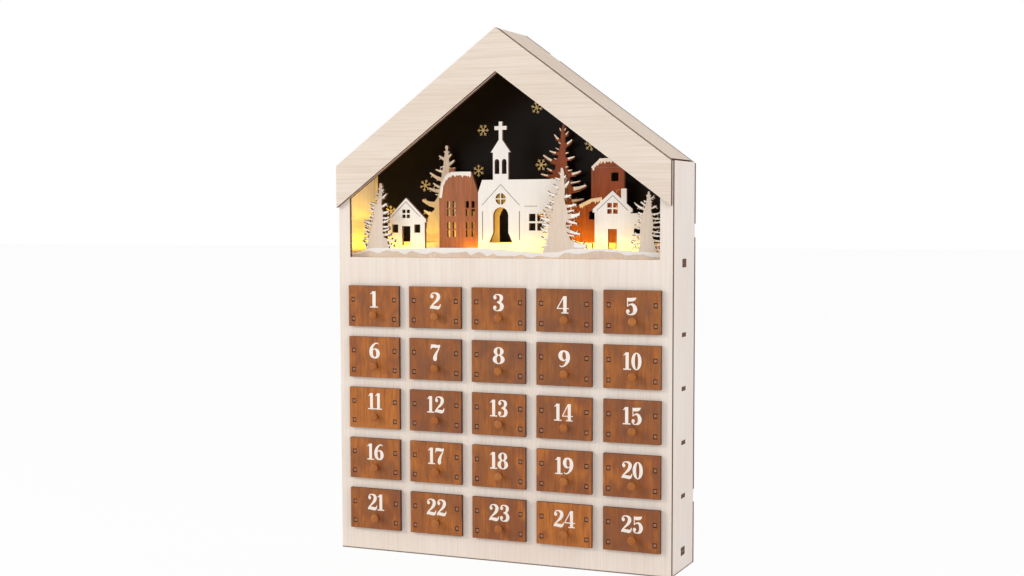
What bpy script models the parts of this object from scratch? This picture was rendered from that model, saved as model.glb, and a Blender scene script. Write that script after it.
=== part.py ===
"""Wooden advent calendar house: laser cut plywood casing, lit winter village and 25 pull-out drawers.

Metres, +Z up, the front faces -Y. The origin is the middle of the footprint, on the table.
"""
import bpy
import bmesh
from math import atan2, ceil, cos, pi, sin, tan
from mathutils import Matrix, Vector

mm = 0.001

# Plywood and the clearances between glued and sliding pieces
ply = 3.0 * mm
gap = 0.3 * mm
slide_gap = 0.5 * mm

# Drawers
columns = 5
rows = 5
box_width = 42.4 * mm
box_height = 28.8 * mm
box_rear_space = 4.5 * mm
side_lap = 3.0 * mm
top_lap = 6.3 * mm
column_space = 9.8 * mm
column_shift = 1.0 * mm
row_space = 8.8 * mm

# Turned knobs
knob_height = 10.1 * mm
knob_shift = 1.7 * mm
knob_length = 6.5 * mm
knob_root = 1.5 * mm
knob_foot_radius = 2.3 * mm
knob_neck_radius = 1.9 * mm
knob_neck_length = 2.0 * mm
knob_head_radius = 3.5 * mm
knob_head_start = 3.6 * mm
knob_face_radius = 2.1 * mm
knob_dome = 1.3 * mm
knob_sides = 10

# Casing
side_margin = 9.4 * mm
base_height = 12.6 * mm
stage_wall = 78.4 * mm
roof_rise = 109.9 * mm
roof_lip = 1.5 * mm
tenon_length = 10.5 * mm
tab_reach = 1.2 * mm
low_tab_height = 56.5 * mm
high_tab_height = 276.7 * mm
roof_tab_place = 32.6 * mm

# Roof fascia and window
fascia_band = 35.6 * mm
fascia_rise = 0.5 * mm
fascia_shift = -0.8 * mm
window_margin = 10.6 * mm
window_sill = 0.2 * mm

# Battery compartment for two small cells, above the top drawers
cell_diameter = 10.5 * mm
cell_length = 44.5 * mm
cell_nub_radius = 1.9 * mm
cell_nub_length = 0.8 * mm
cell_clearance = 0.2 * mm
cell_sides = 12
contact_space = 2.5 * mm
contact_thickness = 0.5 * mm
contact_width = 8.0 * mm
spring_radius = 2.6 * mm
spring_tip_radius = 1.4 * mm
spring_sides = 8
tray_wall = 0.8 * mm
tray_ear = 5.0 * mm
tray_ear_thickness = 1.2 * mm
cover_thickness = 1.4 * mm
cover_recess = 0.1 * mm
drawer_to_tray = 0.6 * mm
switch_bay = 9.0 * mm
switch_plate = 1.0 * mm
switch_knob_width = 4.0 * mm
switch_knob_length = 5.0 * mm
switch_foot_width = 7.0 * mm
switch_foot_thickness = 1.2 * mm
switch_travel = 4.0 * mm
switch_recess = 0.2 * mm

# Stage: boards stand one behind the other between the front panel and the night sky
front_space = 6.0 * mm
board_pitch = 9.0 * mm
board_layers = 5
sky_space = 8.2 * mm
sky_margin = 4.8 * mm
stage_tenon = 10.0 * mm
screen_layer, white_layer, town_layer, barn_layer, fir_layer = range(board_layers)

# Snowy ground of the front board
ground_height = 7.2 * mm
ground_fall = 3.6 * mm
ground_wave = 0.9 * mm
ground_wave_length = 46.0 * mm
ground_step = 12.0 * mm

# Fir trees: height is above the stage, spread is the reach of the lowest branch
fir_tiers = 9
fir_body = 0.46
fir_lift = 0.62
left_fir_from_wall = 30.5 * mm
left_fir_height = 63.4 * mm
left_fir_spread = 14.0 * mm
big_fir_place = 50.5 * mm
big_fir_height = 74.0 * mm
big_fir_spread = 24.5 * mm
right_fir_from_wall = 20.3 * mm
right_fir_height = 53.8 * mm
right_fir_spread = 13.5 * mm
back_fir_from_wall = 78.5 * mm
back_fir_height = 96.6 * mm
back_fir_spread = 30.0 * mm
back_fir_foot = 13.0 * mm
brown_fir_place = 39.7 * mm
brown_fir_height = 116.0 * mm
brown_fir_spread = 27.0 * mm
brown_fir_foot = 20.0 * mm

# White house on the left
left_house_from_wall = 52.6 * mm
left_house_half = 17.8 * mm
left_house_eaves = 19.0 * mm
left_house_wall = 32.3 * mm
left_house_roof_height = 18.5 * mm
left_house_door = 7.9 * mm
left_house_door_foot = 10.1 * mm
left_house_door_height = 16.5 * mm
left_house_window = 5.6 * mm
left_house_window_place = 10.6 * mm
left_house_window_foot = 20.9 * mm
left_house_window_height = 7.1 * mm
left_house_attic_rise = 1.2 * mm
left_house_attic_size = 7.2 * mm

# White house on the right
right_house_from_wall = 53.7 * mm
right_house_half = 15.4 * mm
right_house_eaves = 17.1 * mm
right_house_wall = 40.4 * mm
right_house_roof_height = 14.9 * mm
right_house_door = 7.6 * mm
right_house_door_foot = 8.1 * mm
right_house_door_height = 16.2 * mm
right_house_attic_drop = 3.8 * mm
right_house_attic_size = 8.8 * mm
chimney_place = 9.7 * mm
chimney_width = 4.6 * mm
chimney_rise = 1.6 * mm
lean_to_reach = 28.5 * mm
lean_to_drop = 3.5 * mm
lean_to_window_place = 20.9 * mm
lean_to_window = 5.4 * mm
lean_to_window_foot = 19.0 * mm
lean_to_window_height = 7.0 * mm
window_bar = 1.2 * mm

# Church
church_place = -5.6 * mm
church_left = 20.8 * mm
church_right = 58.6 * mm
church_eaves = 54.8 * mm
church_roof_height = 10.5 * mm
church_hip = 3.8 * mm
steeple_half = 7.0 * mm
steeple_eaves_half = 9.0 * mm
steeple_wall_height = 22.7 * mm
steeple_roof_height = 10.4 * mm
cross_bar = 3.2 * mm
cross_arm_reach = 5.5 * mm
cross_arm_rise = 9.8 * mm
cross_head = 5.3 * mm
belfry_window = 4.3 * mm
belfry_place = 3.3 * mm
belfry_rise = 4.8 * mm
belfry_height = 12.5 * mm
rose_rise = 6.9 * mm
rose_radius = 4.8 * mm
rose_bar = 0.9 * mm
door_half = 6.9 * mm
door_foot = 12.7 * mm
door_height = 29.7 * mm
door_flare_half = 10.8 * mm
door_flare_height = 8.3 * mm
nave_window_place = 32.2 * mm
nave_window_width = 13.0 * mm
nave_window_foot = 22.9 * mm
nave_window_height = 13.9 * mm
nave_window_bar = 1.6 * mm

# Town house
town_house_from_fir = 19.6 * mm
town_half = 18.1 * mm
town_left_wall = 50.7 * mm
town_right_wall = 55.5 * mm
town_left_top = 6.7 * mm
town_right_top = 12.1 * mm
town_roof_height = 17.2 * mm
town_window_places = (-6.6 * mm, 11.0 * mm)
town_window_feet = (17.4 * mm, 35.2 * mm)
town_pane_height = 5.8 * mm
town_pane_width = 3.0 * mm
town_pane_shift = 2.7 * mm
town_pane_split = 1.0 * mm

# Barn with its side building, on a low strip of ground
barn_from_wall = 64.2 * mm
barn_half = 14.4 * mm
barn_wall = 75.2 * mm
barn_top_half = 6.9 * mm
barn_roof_height = 7.0 * mm
barn_window_place = 6.1 * mm
barn_window = 6.4 * mm
barn_window_drop = 11.9 * mm
barn_window_height = 7.2 * mm
side_building_reach = 36.5 * mm
side_building_low = 39.5 * mm
side_building_roof_height = 9.7 * mm
side_building_window_place = -14.0 * mm
side_building_window = 5.2 * mm
side_building_window_drop = 7.5 * mm
side_building_window_height = 6.7 * mm
back_ground_height = 13.0 * mm
back_ground_from_wall = 16.0 * mm

# Fairy lights: copper wire with lamps cast round it in clear drops
wire_radius = 0.5 * mm
wire_bend = 2.5 * mm
wire_from_wall = 8.5 * mm
wire_from_tray = 5.0 * mm
wire_hole_radius = 1.4 * mm
wire_loop_from_house = 3.7 * mm
wire_loop_height = 56.0 * mm
wire_loop_width = 5.0 * mm
wire_end_from_wall = 30.0 * mm
lamp_pitch = 26.0 * mm
lamp_radius = 1.6 * mm
lamp_length = 5.0 * mm

# Sizes that follow from the ones above
plate_width = box_width + 2 * side_lap
plate_height = box_height + top_lap
column_pitch = plate_width + column_space
row_pitch = plate_height + row_space
width = columns * column_pitch - column_space + 2 * side_margin
half_width = width / 2
inner_half = half_width - ply
base_top = base_height + 2 * ply + gap
top_shelf_top = base_top + (rows - 1) * row_pitch
tray_height = 2 * cell_diameter + 3 * cell_clearance + 2 * tray_wall
tray_bottom = top_shelf_top + gap + box_height + drawer_to_tray
floor_bottom = tray_bottom + tray_height + gap
floor_top = floor_bottom + 2 * ply + gap
sill_height = floor_top + window_sill
wall_height = floor_top + stage_wall
ridge_height = wall_height + roof_rise

# Places along the stage
left_house_place = -inner_half + left_house_from_wall
right_house_place = inner_half - right_house_from_wall
barn_place = inner_half - barn_from_wall
back_fir_place = -inner_half + back_fir_from_wall
town_place = back_fir_place + town_house_from_fir
wire_loop_place = right_house_place + wire_loop_from_house

# Heights on the stage boards, each from what it stands on
left_house_apex = left_house_wall + left_house_roof_height
left_house_door_top = left_house_door_foot + left_house_door_height
left_house_window_top = left_house_window_foot + left_house_window_height
left_house_attic_foot = left_house_wall + left_house_attic_rise
right_house_apex = right_house_wall + right_house_roof_height
right_house_door_top = right_house_door_foot + right_house_door_height
right_house_attic_foot = right_house_wall - right_house_attic_drop
chimney_top = right_house_apex + chimney_rise
lean_to_height = right_house_wall - lean_to_drop
lean_to_window_top = lean_to_window_foot + lean_to_window_height
church_ridge = church_eaves + church_roof_height
steeple_wall = church_ridge + steeple_wall_height
steeple_tip = steeple_wall + steeple_roof_height
cross_arm_height = steeple_tip + cross_arm_rise
cross_top = cross_arm_height + cross_head
belfry_foot = church_ridge + belfry_rise
belfry_top = belfry_foot + belfry_height
door_top = door_foot + door_height
rose_height = door_top + rose_rise
nave_window_top = nave_window_foot + nave_window_height
town_top = town_right_wall + town_roof_height
barn_top = barn_wall + barn_roof_height
barn_window_foot = barn_wall - barn_window_drop
barn_window_top = barn_window_foot + barn_window_height
side_building_high = side_building_low + side_building_roof_height
side_building_window_foot = side_building_low - side_building_window_drop
side_building_window_top = side_building_window_foot + side_building_window_height
roof_angle = atan2(roof_rise - roof_lip, inner_half)
roof_tan = tan(roof_angle)
roof_drop = ply / cos(roof_angle)
depth = ply + front_space + (board_layers - 1) * board_pitch + ply + sky_space + ply + gap + ply
knob_reach = gap + ply + knob_length
front = knob_reach - (knob_reach + depth) / 2
back = front + depth
inside_front = front + ply + gap
inside_back = back - ply - gap
middle = (inside_front + inside_back) / 2
box_length = depth - ply - box_rear_space
window_half = half_width - window_margin
sky_half = half_width - ply - sky_margin
layer_fronts = [front + ply + front_space + layer * board_pitch for layer in range(board_layers)]
sky_front = inside_back - ply
column_places = [column_shift + (column - (columns - 1) / 2) * column_pitch for column in range(columns)]
divider_places = [(left + right) / 2 for left, right in zip(column_places, column_places[1:])]
row_floors = [base_top + row * row_pitch for row in range(rows)]


def add_board(bm, outline, holes=(), thickness=ply, place=Matrix()):
    """Adds one flat board to a mesh: the outline and its holes are filled, then extruded upwards."""
    board = bmesh.new()
    for loop in (outline, *holes):
        corners = [board.verts.new((x, y, 0)) for x, y in loop]
        for start, end in zip(corners, corners[1:] + corners[:1]):
            board.edges.new((start, end))
    bmesh.ops.triangle_fill(board, edges=board.edges[:], use_beauty=True)
    made = bmesh.ops.extrude_face_region(board, geom=board.faces[:])["geom"]
    top = [item for item in made if isinstance(item, bmesh.types.BMVert)]
    bmesh.ops.translate(board, verts=top, vec=(0, 0, thickness))
    bmesh.ops.recalc_face_normals(board, faces=board.faces[:])
    append_mesh(bm, board, place)


def add_turned(bm, profile, sides, place=Matrix()):
    """Adds a turned piece: the profile is a list of radius and height, and the axis is Z."""
    turned = bmesh.new()
    rings = []
    for radius, height in profile:
        turns = [2 * pi * side / sides for side in range(sides)]
        rings.append([turned.verts.new((radius * cos(a), radius * sin(a), height)) for a in turns])
    for lower, upper in zip(rings, rings[1:]):
        for side in range(sides):
            after = (side + 1) % sides
            turned.faces.new((lower[side], lower[after], upper[after], upper[side]))
    turned.faces.new(rings[0])
    turned.faces.new(rings[-1])
    bmesh.ops.recalc_face_normals(turned, faces=turned.faces[:])
    append_mesh(bm, turned, place)


def append_mesh(bm, other, place):
    """Moves one mesh into another at the given place and frees it."""
    bmesh.ops.transform(other, matrix=place, verts=other.verts[:])
    holder = bpy.data.meshes.new("holder")
    other.to_mesh(holder)
    other.free()
    bm.from_mesh(holder)
    bpy.data.meshes.remove(holder)


def mesh_of(name, bm):
    """Turns a bmesh into a mesh and frees it."""
    mesh = bpy.data.meshes.new(name)
    bm.to_mesh(mesh)
    bm.free()
    return mesh


def finish(name, bm, material, place=Matrix(), parent=None):
    """Turns a bmesh into a named object with its material, placed under its parent."""
    mesh = mesh_of(name, bm)
    mesh.materials.append(material)
    return stand(name, mesh, place, parent)


def finish_round(mesh, material):
    """Shades a mesh with turned surfaces smooth, apart from its sharp edges."""
    mesh.shade_smooth()
    mesh.set_sharp_from_angle(angle=pi / 6)
    mesh.materials.append(material)
    return mesh


def stand(name, mesh, place, parent):
    """Puts an object that uses the mesh into the scene."""
    obj = bpy.data.objects.new(name, mesh)
    bpy.context.collection.objects.link(obj)
    obj.parent = parent
    obj.matrix_local = place
    return obj


def shaped(name, body, steps):
    """One mesh from a body and what is joined to it or cut from it in turn, by exact Booleans."""
    base = stand(name, mesh_of(name, body), Matrix(), None)
    tools = []
    for operation, piece in steps:
        tools.append(stand(f"{name}_tool", mesh_of(name, piece), Matrix(), None))
        cut(base, tools[-1], operation)
    evaluated = base.evaluated_get(bpy.context.evaluated_depsgraph_get())
    mesh = bpy.data.meshes.new_from_object(evaluated)
    for obj in (base, *tools):
        bpy.data.objects.remove(obj, do_unlink=True)
    return mesh


def board_object(name, outline, holes, material, place, parent=None, thickness=ply):
    """One board as one object."""
    bm = bmesh.new()
    add_board(bm, outline, holes, thickness)
    return finish(name, bm, material, place, parent)


def empty(name, location):
    """A carrier that other objects are parented to."""
    carrier = bpy.data.objects.new(name, None)
    bpy.context.collection.objects.link(carrier)
    carrier.location = location
    return carrier


def material(name, colour, roughness, metallic=0.0):
    """A plain Principled material."""
    made = bpy.data.materials.new(name)
    made.use_nodes = True
    shader = made.node_tree.nodes["Principled BSDF"]
    shader.inputs["Base Color"].default_value = (*colour, 1.0)
    shader.inputs["Roughness"].default_value = roughness
    shader.inputs["Metallic"].default_value = metallic
    return made


def upright(y):
    """Place of a board drawn in X and Z whose back face is at y."""
    return Matrix.Translation((0, y, 0)) @ Matrix.Rotation(pi / 2, 4, "X")


def lying(z):
    """Place of a board drawn in X and Y whose underside is at z."""
    return Matrix.Translation((0, 0, z))


def lengthwise(x):
    """Place of a board drawn in Y and Z whose left face is at x."""
    return Matrix.Translation((x, 0, 0)) @ Matrix.Rotation(pi / 2, 4, "Z") @ Matrix.Rotation(pi / 2, 4, "X")


def rectangle(left, right, low, high):
    """Four corners of a rectangle."""
    return [(left, low), (right, low), (right, high), (left, high)]


def centred(x, y, wide, tall):
    """A rectangle by its middle and size."""
    return rectangle(x - wide / 2, x + wide / 2, y - tall / 2, y + tall / 2)


def level_step(start, end, edge, reach):
    """Four points of a slot or tab in a level edge, from start to end."""
    return [(start, edge), (start, reach), (end, reach), (end, edge)]


def upright_step(start, end, edge, reach):
    """Four points of a slot or tab in an upright edge, from start to end."""
    return [(edge, start), (reach, start), (reach, end), (edge, end)]


def arc(x, y, radius, start, end, steps):
    """Points of an arc, both ends included, angles in radians."""
    angles = [start + (end - start) * step / steps for step in range(steps + 1)]
    return [(x + radius * cos(angle), y + radius * sin(angle)) for angle in angles]


def roof_line(x, drop=0.0):
    """Height of the roof's outer surface at x, lowered by drop."""
    return ridge_height - drop - abs(x) * roof_tan


def gable(half, low, drop=0.0):
    """Outline of a house front with a pitched top, drop below the roof's surface."""
    eaves = roof_line(half, drop)
    return [(-half, low), (half, low), (half, eaves), (0, roof_line(0, drop)), (-half, eaves)]


def panes(x, low, wide, tall, bar):
    """Four panes round a glazing cross, as holes."""
    pane_width, pane_height = (wide - bar) / 2, (tall - bar) / 2
    return [
        rectangle(left, left + pane_width, foot, foot + pane_height)
        for left in (x - wide / 2, x + bar / 2)
        for foot in (low, low + pane_height + bar)
    ]


def fir_side(height, spread, foot, turn):
    """One side of a fir from its lowest branch to its tip: branches that rise towards their ends."""
    tier = (height - foot) / fir_tiers
    points = []
    for step in range(fir_tiers):
        share = 1 - step / fir_tiers
        low = foot + step * tier
        points.append((turn * spread * fir_body * share, low))
        points.append((turn * spread * share, low + fir_lift * tier))
    return points


def fir(place, height, spread, foot):
    """A fir's outline from right to left: up its right side, over the tip and down its left side."""
    right = fir_side(height, spread, foot, 1)
    left = fir_side(height, spread, foot, -1)
    return [(place + x, z) for x, z in right + [(0, height)] + left[::-1]]


def tenoned_foot(left, right, places):
    """Lower edge of a stage board from left to right, with its tenons in the stage floor."""
    points = [(left, gap)]
    for place in places:
        points += level_step(place - stage_tenon / 2, place + stage_tenon / 2, gap, -ply)
    return points + [(right, gap)]


def stage_board(name, layer, tenons, foot, top, holes, stain, stage):
    """A board that stands on the stage: its foot runs from foot's left to right, then top comes back."""
    outline = tenoned_foot(*foot, tenons) + top
    return board_object(name, outline, holes, stain, upright(layer_fronts[layer] + ply), stage)


def side_outline():
    """Side panel in Y and Z, with its two short tabs at the back."""
    outline = [(inside_front, 0), (inside_back, 0)]
    for height in (low_tab_height, high_tab_height):
        low, high = height - tenon_length / 2, height + tenon_length / 2
        outline += upright_step(low, high, inside_back, inside_back + tab_reach)
    return outline + [(inside_back, wall_height), (inside_front, wall_height)]


def side_mortises():
    """Slots through a side panel for the shelves and the doubled floors."""
    length = tenon_length + 2 * gap
    doubled = 2 * ply + gap + 2 * gap
    slots = [centred(middle, floor - ply / 2, length, ply + 2 * gap) for floor in row_floors[1:]]
    slots += [centred(middle, floor - ply - gap / 2, length, doubled) for floor in (base_top, floor_top)]
    return slots


def shelf_outline(slot_places=()):
    """A full-width floor with a tenon at each end and slots from the back for the dividers."""
    reach = inner_half - gap
    near, far = middle - tenon_length / 2, middle + tenon_length / 2
    outline = [(-reach, inside_front), (reach, inside_front)]
    outline += upright_step(near, far, reach, half_width)
    outline.append((reach, inside_back))
    for place in slot_places[::-1]:
        outline += level_step(place + ply / 2 + gap, place - ply / 2 - gap, inside_back, middle - gap)
    outline.append((-reach, inside_back))
    return outline + upright_step(far, near, -reach, -half_width)


def divider_outline():
    """An upright divider in Y and Z, slotted from the front over the shelves, tenoned into the base."""
    low = base_top + gap
    near, far = middle - tenon_length / 2, middle + tenon_length / 2
    top = top_shelf_top + gap + box_height
    outline = [(inside_front, low)] + level_step(near, far, low, base_top - ply)
    outline += [(inside_back, low), (inside_back, top), (inside_front, top)]
    for floor in row_floors[:0:-1]:
        outline += upright_step(floor + gap, floor - ply - gap, inside_front, middle + gap)
    return outline


def make_casing(birch):
    """Front, back, sides, roof and fascia."""
    openings = [
        rectangle(
            place - box_width / 2 - slide_gap,
            place + box_width / 2 + slide_gap,
            floor,
            floor + gap + box_height + slide_gap,
        )
        for floor in row_floors
        for place in column_places
    ]
    window = gable(window_half, sill_height, fascia_band - fascia_rise)
    board_object("front_panel", gable(half_width, 0), openings + [window], birch, upright(front + ply))

    top, bottom = roof_line(half_width, -fascia_rise), roof_line(half_width, fascia_band - fascia_rise)
    chevron = [(-half_width, bottom), (0, roof_line(0, fascia_band - fascia_rise)), (half_width, bottom)]
    chevron += [(half_width, top), (0, roof_line(0, -fascia_rise)), (-half_width, top)]
    chevron = [(x + fascia_shift, z) for x, z in chevron]
    board_object("roof_fascia", chevron, [], birch, upright(front - gap))

    board_object("right_side", side_outline(), side_mortises(), birch, lengthwise(inner_half))
    board_object("left_side", side_outline(), side_mortises(), birch, lengthwise(-half_width))

    slope = (inner_half - gap) / cos(roof_angle)
    step = (ply + gap) / sin(2 * roof_angle)
    inner_ridge = Matrix.Translation((0, 0, ridge_height))
    sink = Matrix.Translation((0, 0, -ply))
    right_place = inner_ridge @ Matrix.Rotation(roof_angle, 4, "Y") @ sink
    left_place = inner_ridge @ Matrix.Rotation(-roof_angle, 4, "Y") @ sink
    right_roof = roof_outline(0, slope)
    left_roof = [(-x, y) for x, y in roof_outline(step, slope)]
    board_object("roof_right", right_roof, [], birch, right_place)
    board_object("roof_left", left_roof, [], birch, left_place)
    board_object("back_panel", back_outline(), [tray_cut_out()], birch, upright(back))


def roof_outline(start, end):
    """A roof panel along its slope and in Y, with a short tab at the back."""
    near, far = roof_tab_place - tenon_length / 2, roof_tab_place + tenon_length / 2
    outline = [(start, inside_front), (end, inside_front), (end, inside_back)]
    return outline + level_step(far, near, inside_back, inside_back + tab_reach) + [(start, inside_back)]


def back_outline():
    """The back panel: notched at its edges for the tabs of the sides and of the roof."""
    notch = ply + gap
    right = [(half_width, 0)]
    for height in (low_tab_height, high_tab_height):
        low, high = height - tenon_length / 2 - gap, height + tenon_length / 2 + gap
        right += upright_step(low, high, half_width, half_width - notch)
    right.append((half_width, roof_line(half_width)))
    along = Vector((-cos(roof_angle), sin(roof_angle)))
    inward = Vector((-sin(roof_angle), -cos(roof_angle)))
    ridge = Vector((0, ridge_height))
    for place, sunk in ((1, 0), (1, 1), (-1, 1), (-1, 0)):
        point = ridge - along * (roof_tab_place + place * (tenon_length / 2 + gap)) + inward * notch * sunk
        right.append((point.x, point.y))
    return right + [(0, ridge_height)] + [(-x, z) for x, z in right[::-1]]


def tray_half():
    """Half the length of the battery tray."""
    return (3 * tray_wall + cell_length + 2 * contact_space + switch_bay) / 2


def tray_cut_out():
    """Hole in the back panel round the mouth of the battery tray."""
    reach = tray_half() + gap
    return rectangle(-reach, reach, tray_bottom - gap, tray_bottom + tray_height + gap)


def make_floors(birch):
    """Doubled base, shelves, dividers and the doubled stage floor."""
    solid = shelf_outline()
    mortises = [
        centred(place, middle, ply + 2 * gap, tenon_length + 2 * gap) for place in divider_places
    ]
    board_object("base_lower", solid, [], birch, lying(base_height))
    board_object("base_upper", solid, mortises, birch, lying(base_top - ply))
    for number, floor in enumerate(row_floors[1:], 1):
        board_object(f"shelf_{number}", shelf_outline(divider_places), [], birch, lying(floor - ply))
    for number, place in enumerate(divider_places, 1):
        board_object(f"divider_{number}", divider_outline(), [], birch, lengthwise(place - ply / 2))
    wire_hole = arc(*wire_drop(), wire_hole_radius, 0, 2 * pi, 8)[:-1]
    board_object("stage_floor_lower", solid, [wire_hole], birch, lying(floor_bottom))
    slots = [
        centred(place, layer_fronts[layer] + ply / 2, stage_tenon + 2 * gap, ply + 2 * gap)
        for layer, places in stage_tenons().values()
        for place in places
    ]
    board_object("stage_floor_upper", solid, slots + [wire_hole], birch, lying(floor_top - ply))


def stage_tenons():
    """The layer and the tenon places of every board on the stage."""
    screen_tenons = (-inner_half + left_fir_from_wall, 0.0, inner_half - right_fir_from_wall)
    return {
        "front_tree_screen": (screen_layer, screen_tenons),
        "white_house_left": (white_layer, (left_house_place,)),
        "church": (white_layer, (church_place, church_place + nave_window_place)),
        "white_house_right": (white_layer, (right_house_place,)),
        "town_house": (town_layer, (town_place,)),
        "barn": (barn_layer, (-barn_place, 0.0, barn_place)),
        "back_fir": (fir_layer, (back_fir_place,)),
        "brown_fir": (fir_layer, (brown_fir_place,)),
    }


def ground_top(x):
    """Height of the front board's snowy ground at x."""
    return ground_height - ground_fall * x / width + ground_wave * sin(2 * pi * x / ground_wave_length)


def ground_stretch(right, left):
    """Points of the ground between two places, from right to left, without its ends."""
    count = ceil((right - left) / ground_step)
    places = [right + (left - right) * step / count for step in range(1, count)]
    return [(x, ground_top(x)) for x in places]


def front_screen_top(reach):
    """Upper edge of the front board from right to left: ground, firs and ground again."""
    firs = (
        (inner_half - right_fir_from_wall, right_fir_height, right_fir_spread),
        (big_fir_place, big_fir_height, big_fir_spread),
        (-inner_half + left_fir_from_wall, left_fir_height, left_fir_spread),
    )
    points = [(reach, ground_top(reach))]
    right = reach
    for place, height, spread in firs:
        half = spread * fir_body
        points += ground_stretch(right, place + half)
        points += fir(place, height, spread, ground_top(place) + ply)
        right = place - half
    return points + ground_stretch(right, -reach) + [(-reach, ground_top(-reach))]


def house_top(place, half, eaves, wall, apex):
    """Gabled upper edge of a house from right to left, with eaves that stand out."""
    thick = (eaves - half) * (apex - wall) / eaves + window_bar
    return [
        (place + half, wall - thick),
        (place + eaves, wall - thick),
        (place + eaves, wall),
        (place, apex),
        (place - eaves, wall),
        (place - eaves, wall - thick),
        (place - half, wall - thick),
    ]


def make_white_houses(tenons, white, stage):
    """The two small white houses."""
    place, half = left_house_place, left_house_half
    holes = panes(place, left_house_attic_foot, left_house_attic_size, left_house_attic_size, window_bar)
    door = left_house_door / 2
    holes.append(rectangle(place - door, place + door, left_house_door_foot, left_house_door_top))
    for side in (-1, 1):
        x = place + side * left_house_window_place
        near, far = x - left_house_window / 2, x + left_house_window / 2
        holes.append(rectangle(near, far, left_house_window_foot, left_house_window_top))
    top = house_top(place, half, left_house_eaves, left_house_wall, left_house_apex)
    layer, places = tenons["white_house_left"]
    stage_board("white_house_left", layer, places, (place - half, place + half), top, holes, white, stage)

    place, half = right_house_place, right_house_half
    holes = panes(place, right_house_attic_foot, right_house_attic_size, right_house_attic_size, window_bar)
    door = right_house_door / 2
    holes.append(rectangle(place - door, place + door, right_house_door_foot, right_house_door_top))
    x = place + lean_to_window_place
    near, far = x - lean_to_window / 2, x + lean_to_window / 2
    holes.append(rectangle(near, far, lean_to_window_foot, lean_to_window_top))
    roof = house_top(place, half, right_house_eaves, right_house_wall, right_house_apex)
    fall = (right_house_apex - right_house_wall) / right_house_eaves
    chimney = [
        (place + chimney_place + turn * chimney_width / 2, height)
        for turn, height in (
            (1, right_house_apex - fall * (chimney_place + chimney_width / 2)),
            (1, chimney_top),
            (-1, chimney_top),
            (-1, right_house_apex - fall * (chimney_place - chimney_width / 2)),
        )
    ]
    lean_to = [(place + lean_to_reach, lean_to_height), (place + half, lean_to_height)]
    top = lean_to + roof[:3] + chimney + roof[3:]
    layer, places = tenons["white_house_right"]
    foot = (place - half, place + lean_to_reach)
    stage_board("white_house_right", layer, places, foot, top, holes, white, stage)


def arched(x, half, low, top, steps=6):
    """A window or door with a round head, as a hole."""
    return [(x - half, low), (x + half, low)] + arc(x, top - half, half, 0, pi, steps)


def make_church(tenons, white, stage):
    """The white church: nave with a hipped left end, steeple, cross, door and windows."""
    x = church_place
    arm_low, arm_high = cross_arm_height - cross_bar / 2, cross_arm_height + cross_bar / 2
    side = [
        (steeple_half, church_ridge),
        (steeple_half, steeple_wall),
        (steeple_eaves_half, steeple_wall),
        (cross_bar / 2, steeple_tip),
        (cross_bar / 2, arm_low),
        (cross_arm_reach, arm_low),
        (cross_arm_reach, arm_high),
        (cross_bar / 2, arm_high),
        (cross_bar / 2, cross_top),
    ]
    steeple = [(x + away, z) for away, z in side] + [(x - away, z) for away, z in side[::-1]]
    left, right = x - church_left, x + church_right
    top = [(right, church_ridge)] + steeple + [(left + church_hip, church_ridge), (left, church_eaves)]

    door = [(x - door_flare_half, door_foot), (x + door_flare_half, door_foot)]
    door.append((x + door_half, door_foot + door_flare_height))
    door += arc(x, door_top - door_half, door_half, 0, pi, 8)
    door.append((x - door_half, door_foot + door_flare_height))
    holes = [door]
    for belfry in (x - belfry_place, x + belfry_place):
        holes.append(arched(belfry, belfry_window / 2, belfry_foot, belfry_top, 4))
    edge = rose_bar / 2
    start = atan2(edge, rose_radius)
    for quarter in range(4):
        turn = quarter * pi / 2
        corner = Vector((edge, edge))
        corner.rotate(Matrix.Rotation(turn, 2))
        hole = [(x + corner.x, rose_height + corner.y)]
        holes.append(hole + arc(x, rose_height, rose_radius, turn + start, turn + pi / 2 - start, 4))
    tall = nave_window_top - nave_window_foot
    holes += panes(x + nave_window_place, nave_window_foot, nave_window_width, tall, nave_window_bar)
    layer, places = tenons["church"]
    stage_board("church", layer, places, (left, right), top, holes, white, stage)


def make_town_house(tenons, stain, stage):
    """The tall stained house with a mansard roof and four windows."""
    x = town_place
    holes = []
    pane_places = [x + place + turn * town_pane_shift for place in town_window_places for turn in (-1, 1)]
    lifts = (0, town_pane_height + town_pane_split)
    pane_feet = [foot + lift for foot in town_window_feet for lift in lifts]
    for pane in pane_places:
        near, far = pane - town_pane_width / 2, pane + town_pane_width / 2
        holes += [rectangle(near, far, foot, foot + town_pane_height) for foot in pane_feet]
    left, right = x - town_half, x + town_half
    top = [(right, town_right_wall), (x + town_right_top, town_top), (x - town_left_top, town_top)]
    curve = town_top - town_left_wall
    reach = town_half - town_left_top
    top += [(x - town_left_top - reach * sin(a), town_left_wall + curve * cos(a)) for a in (pi / 6, pi / 3)]
    top.append((left, town_left_wall))
    layer, places = tenons["town_house"]
    stage_board("town_house", layer, places, (left, right), top, holes, stain, stage)


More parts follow.
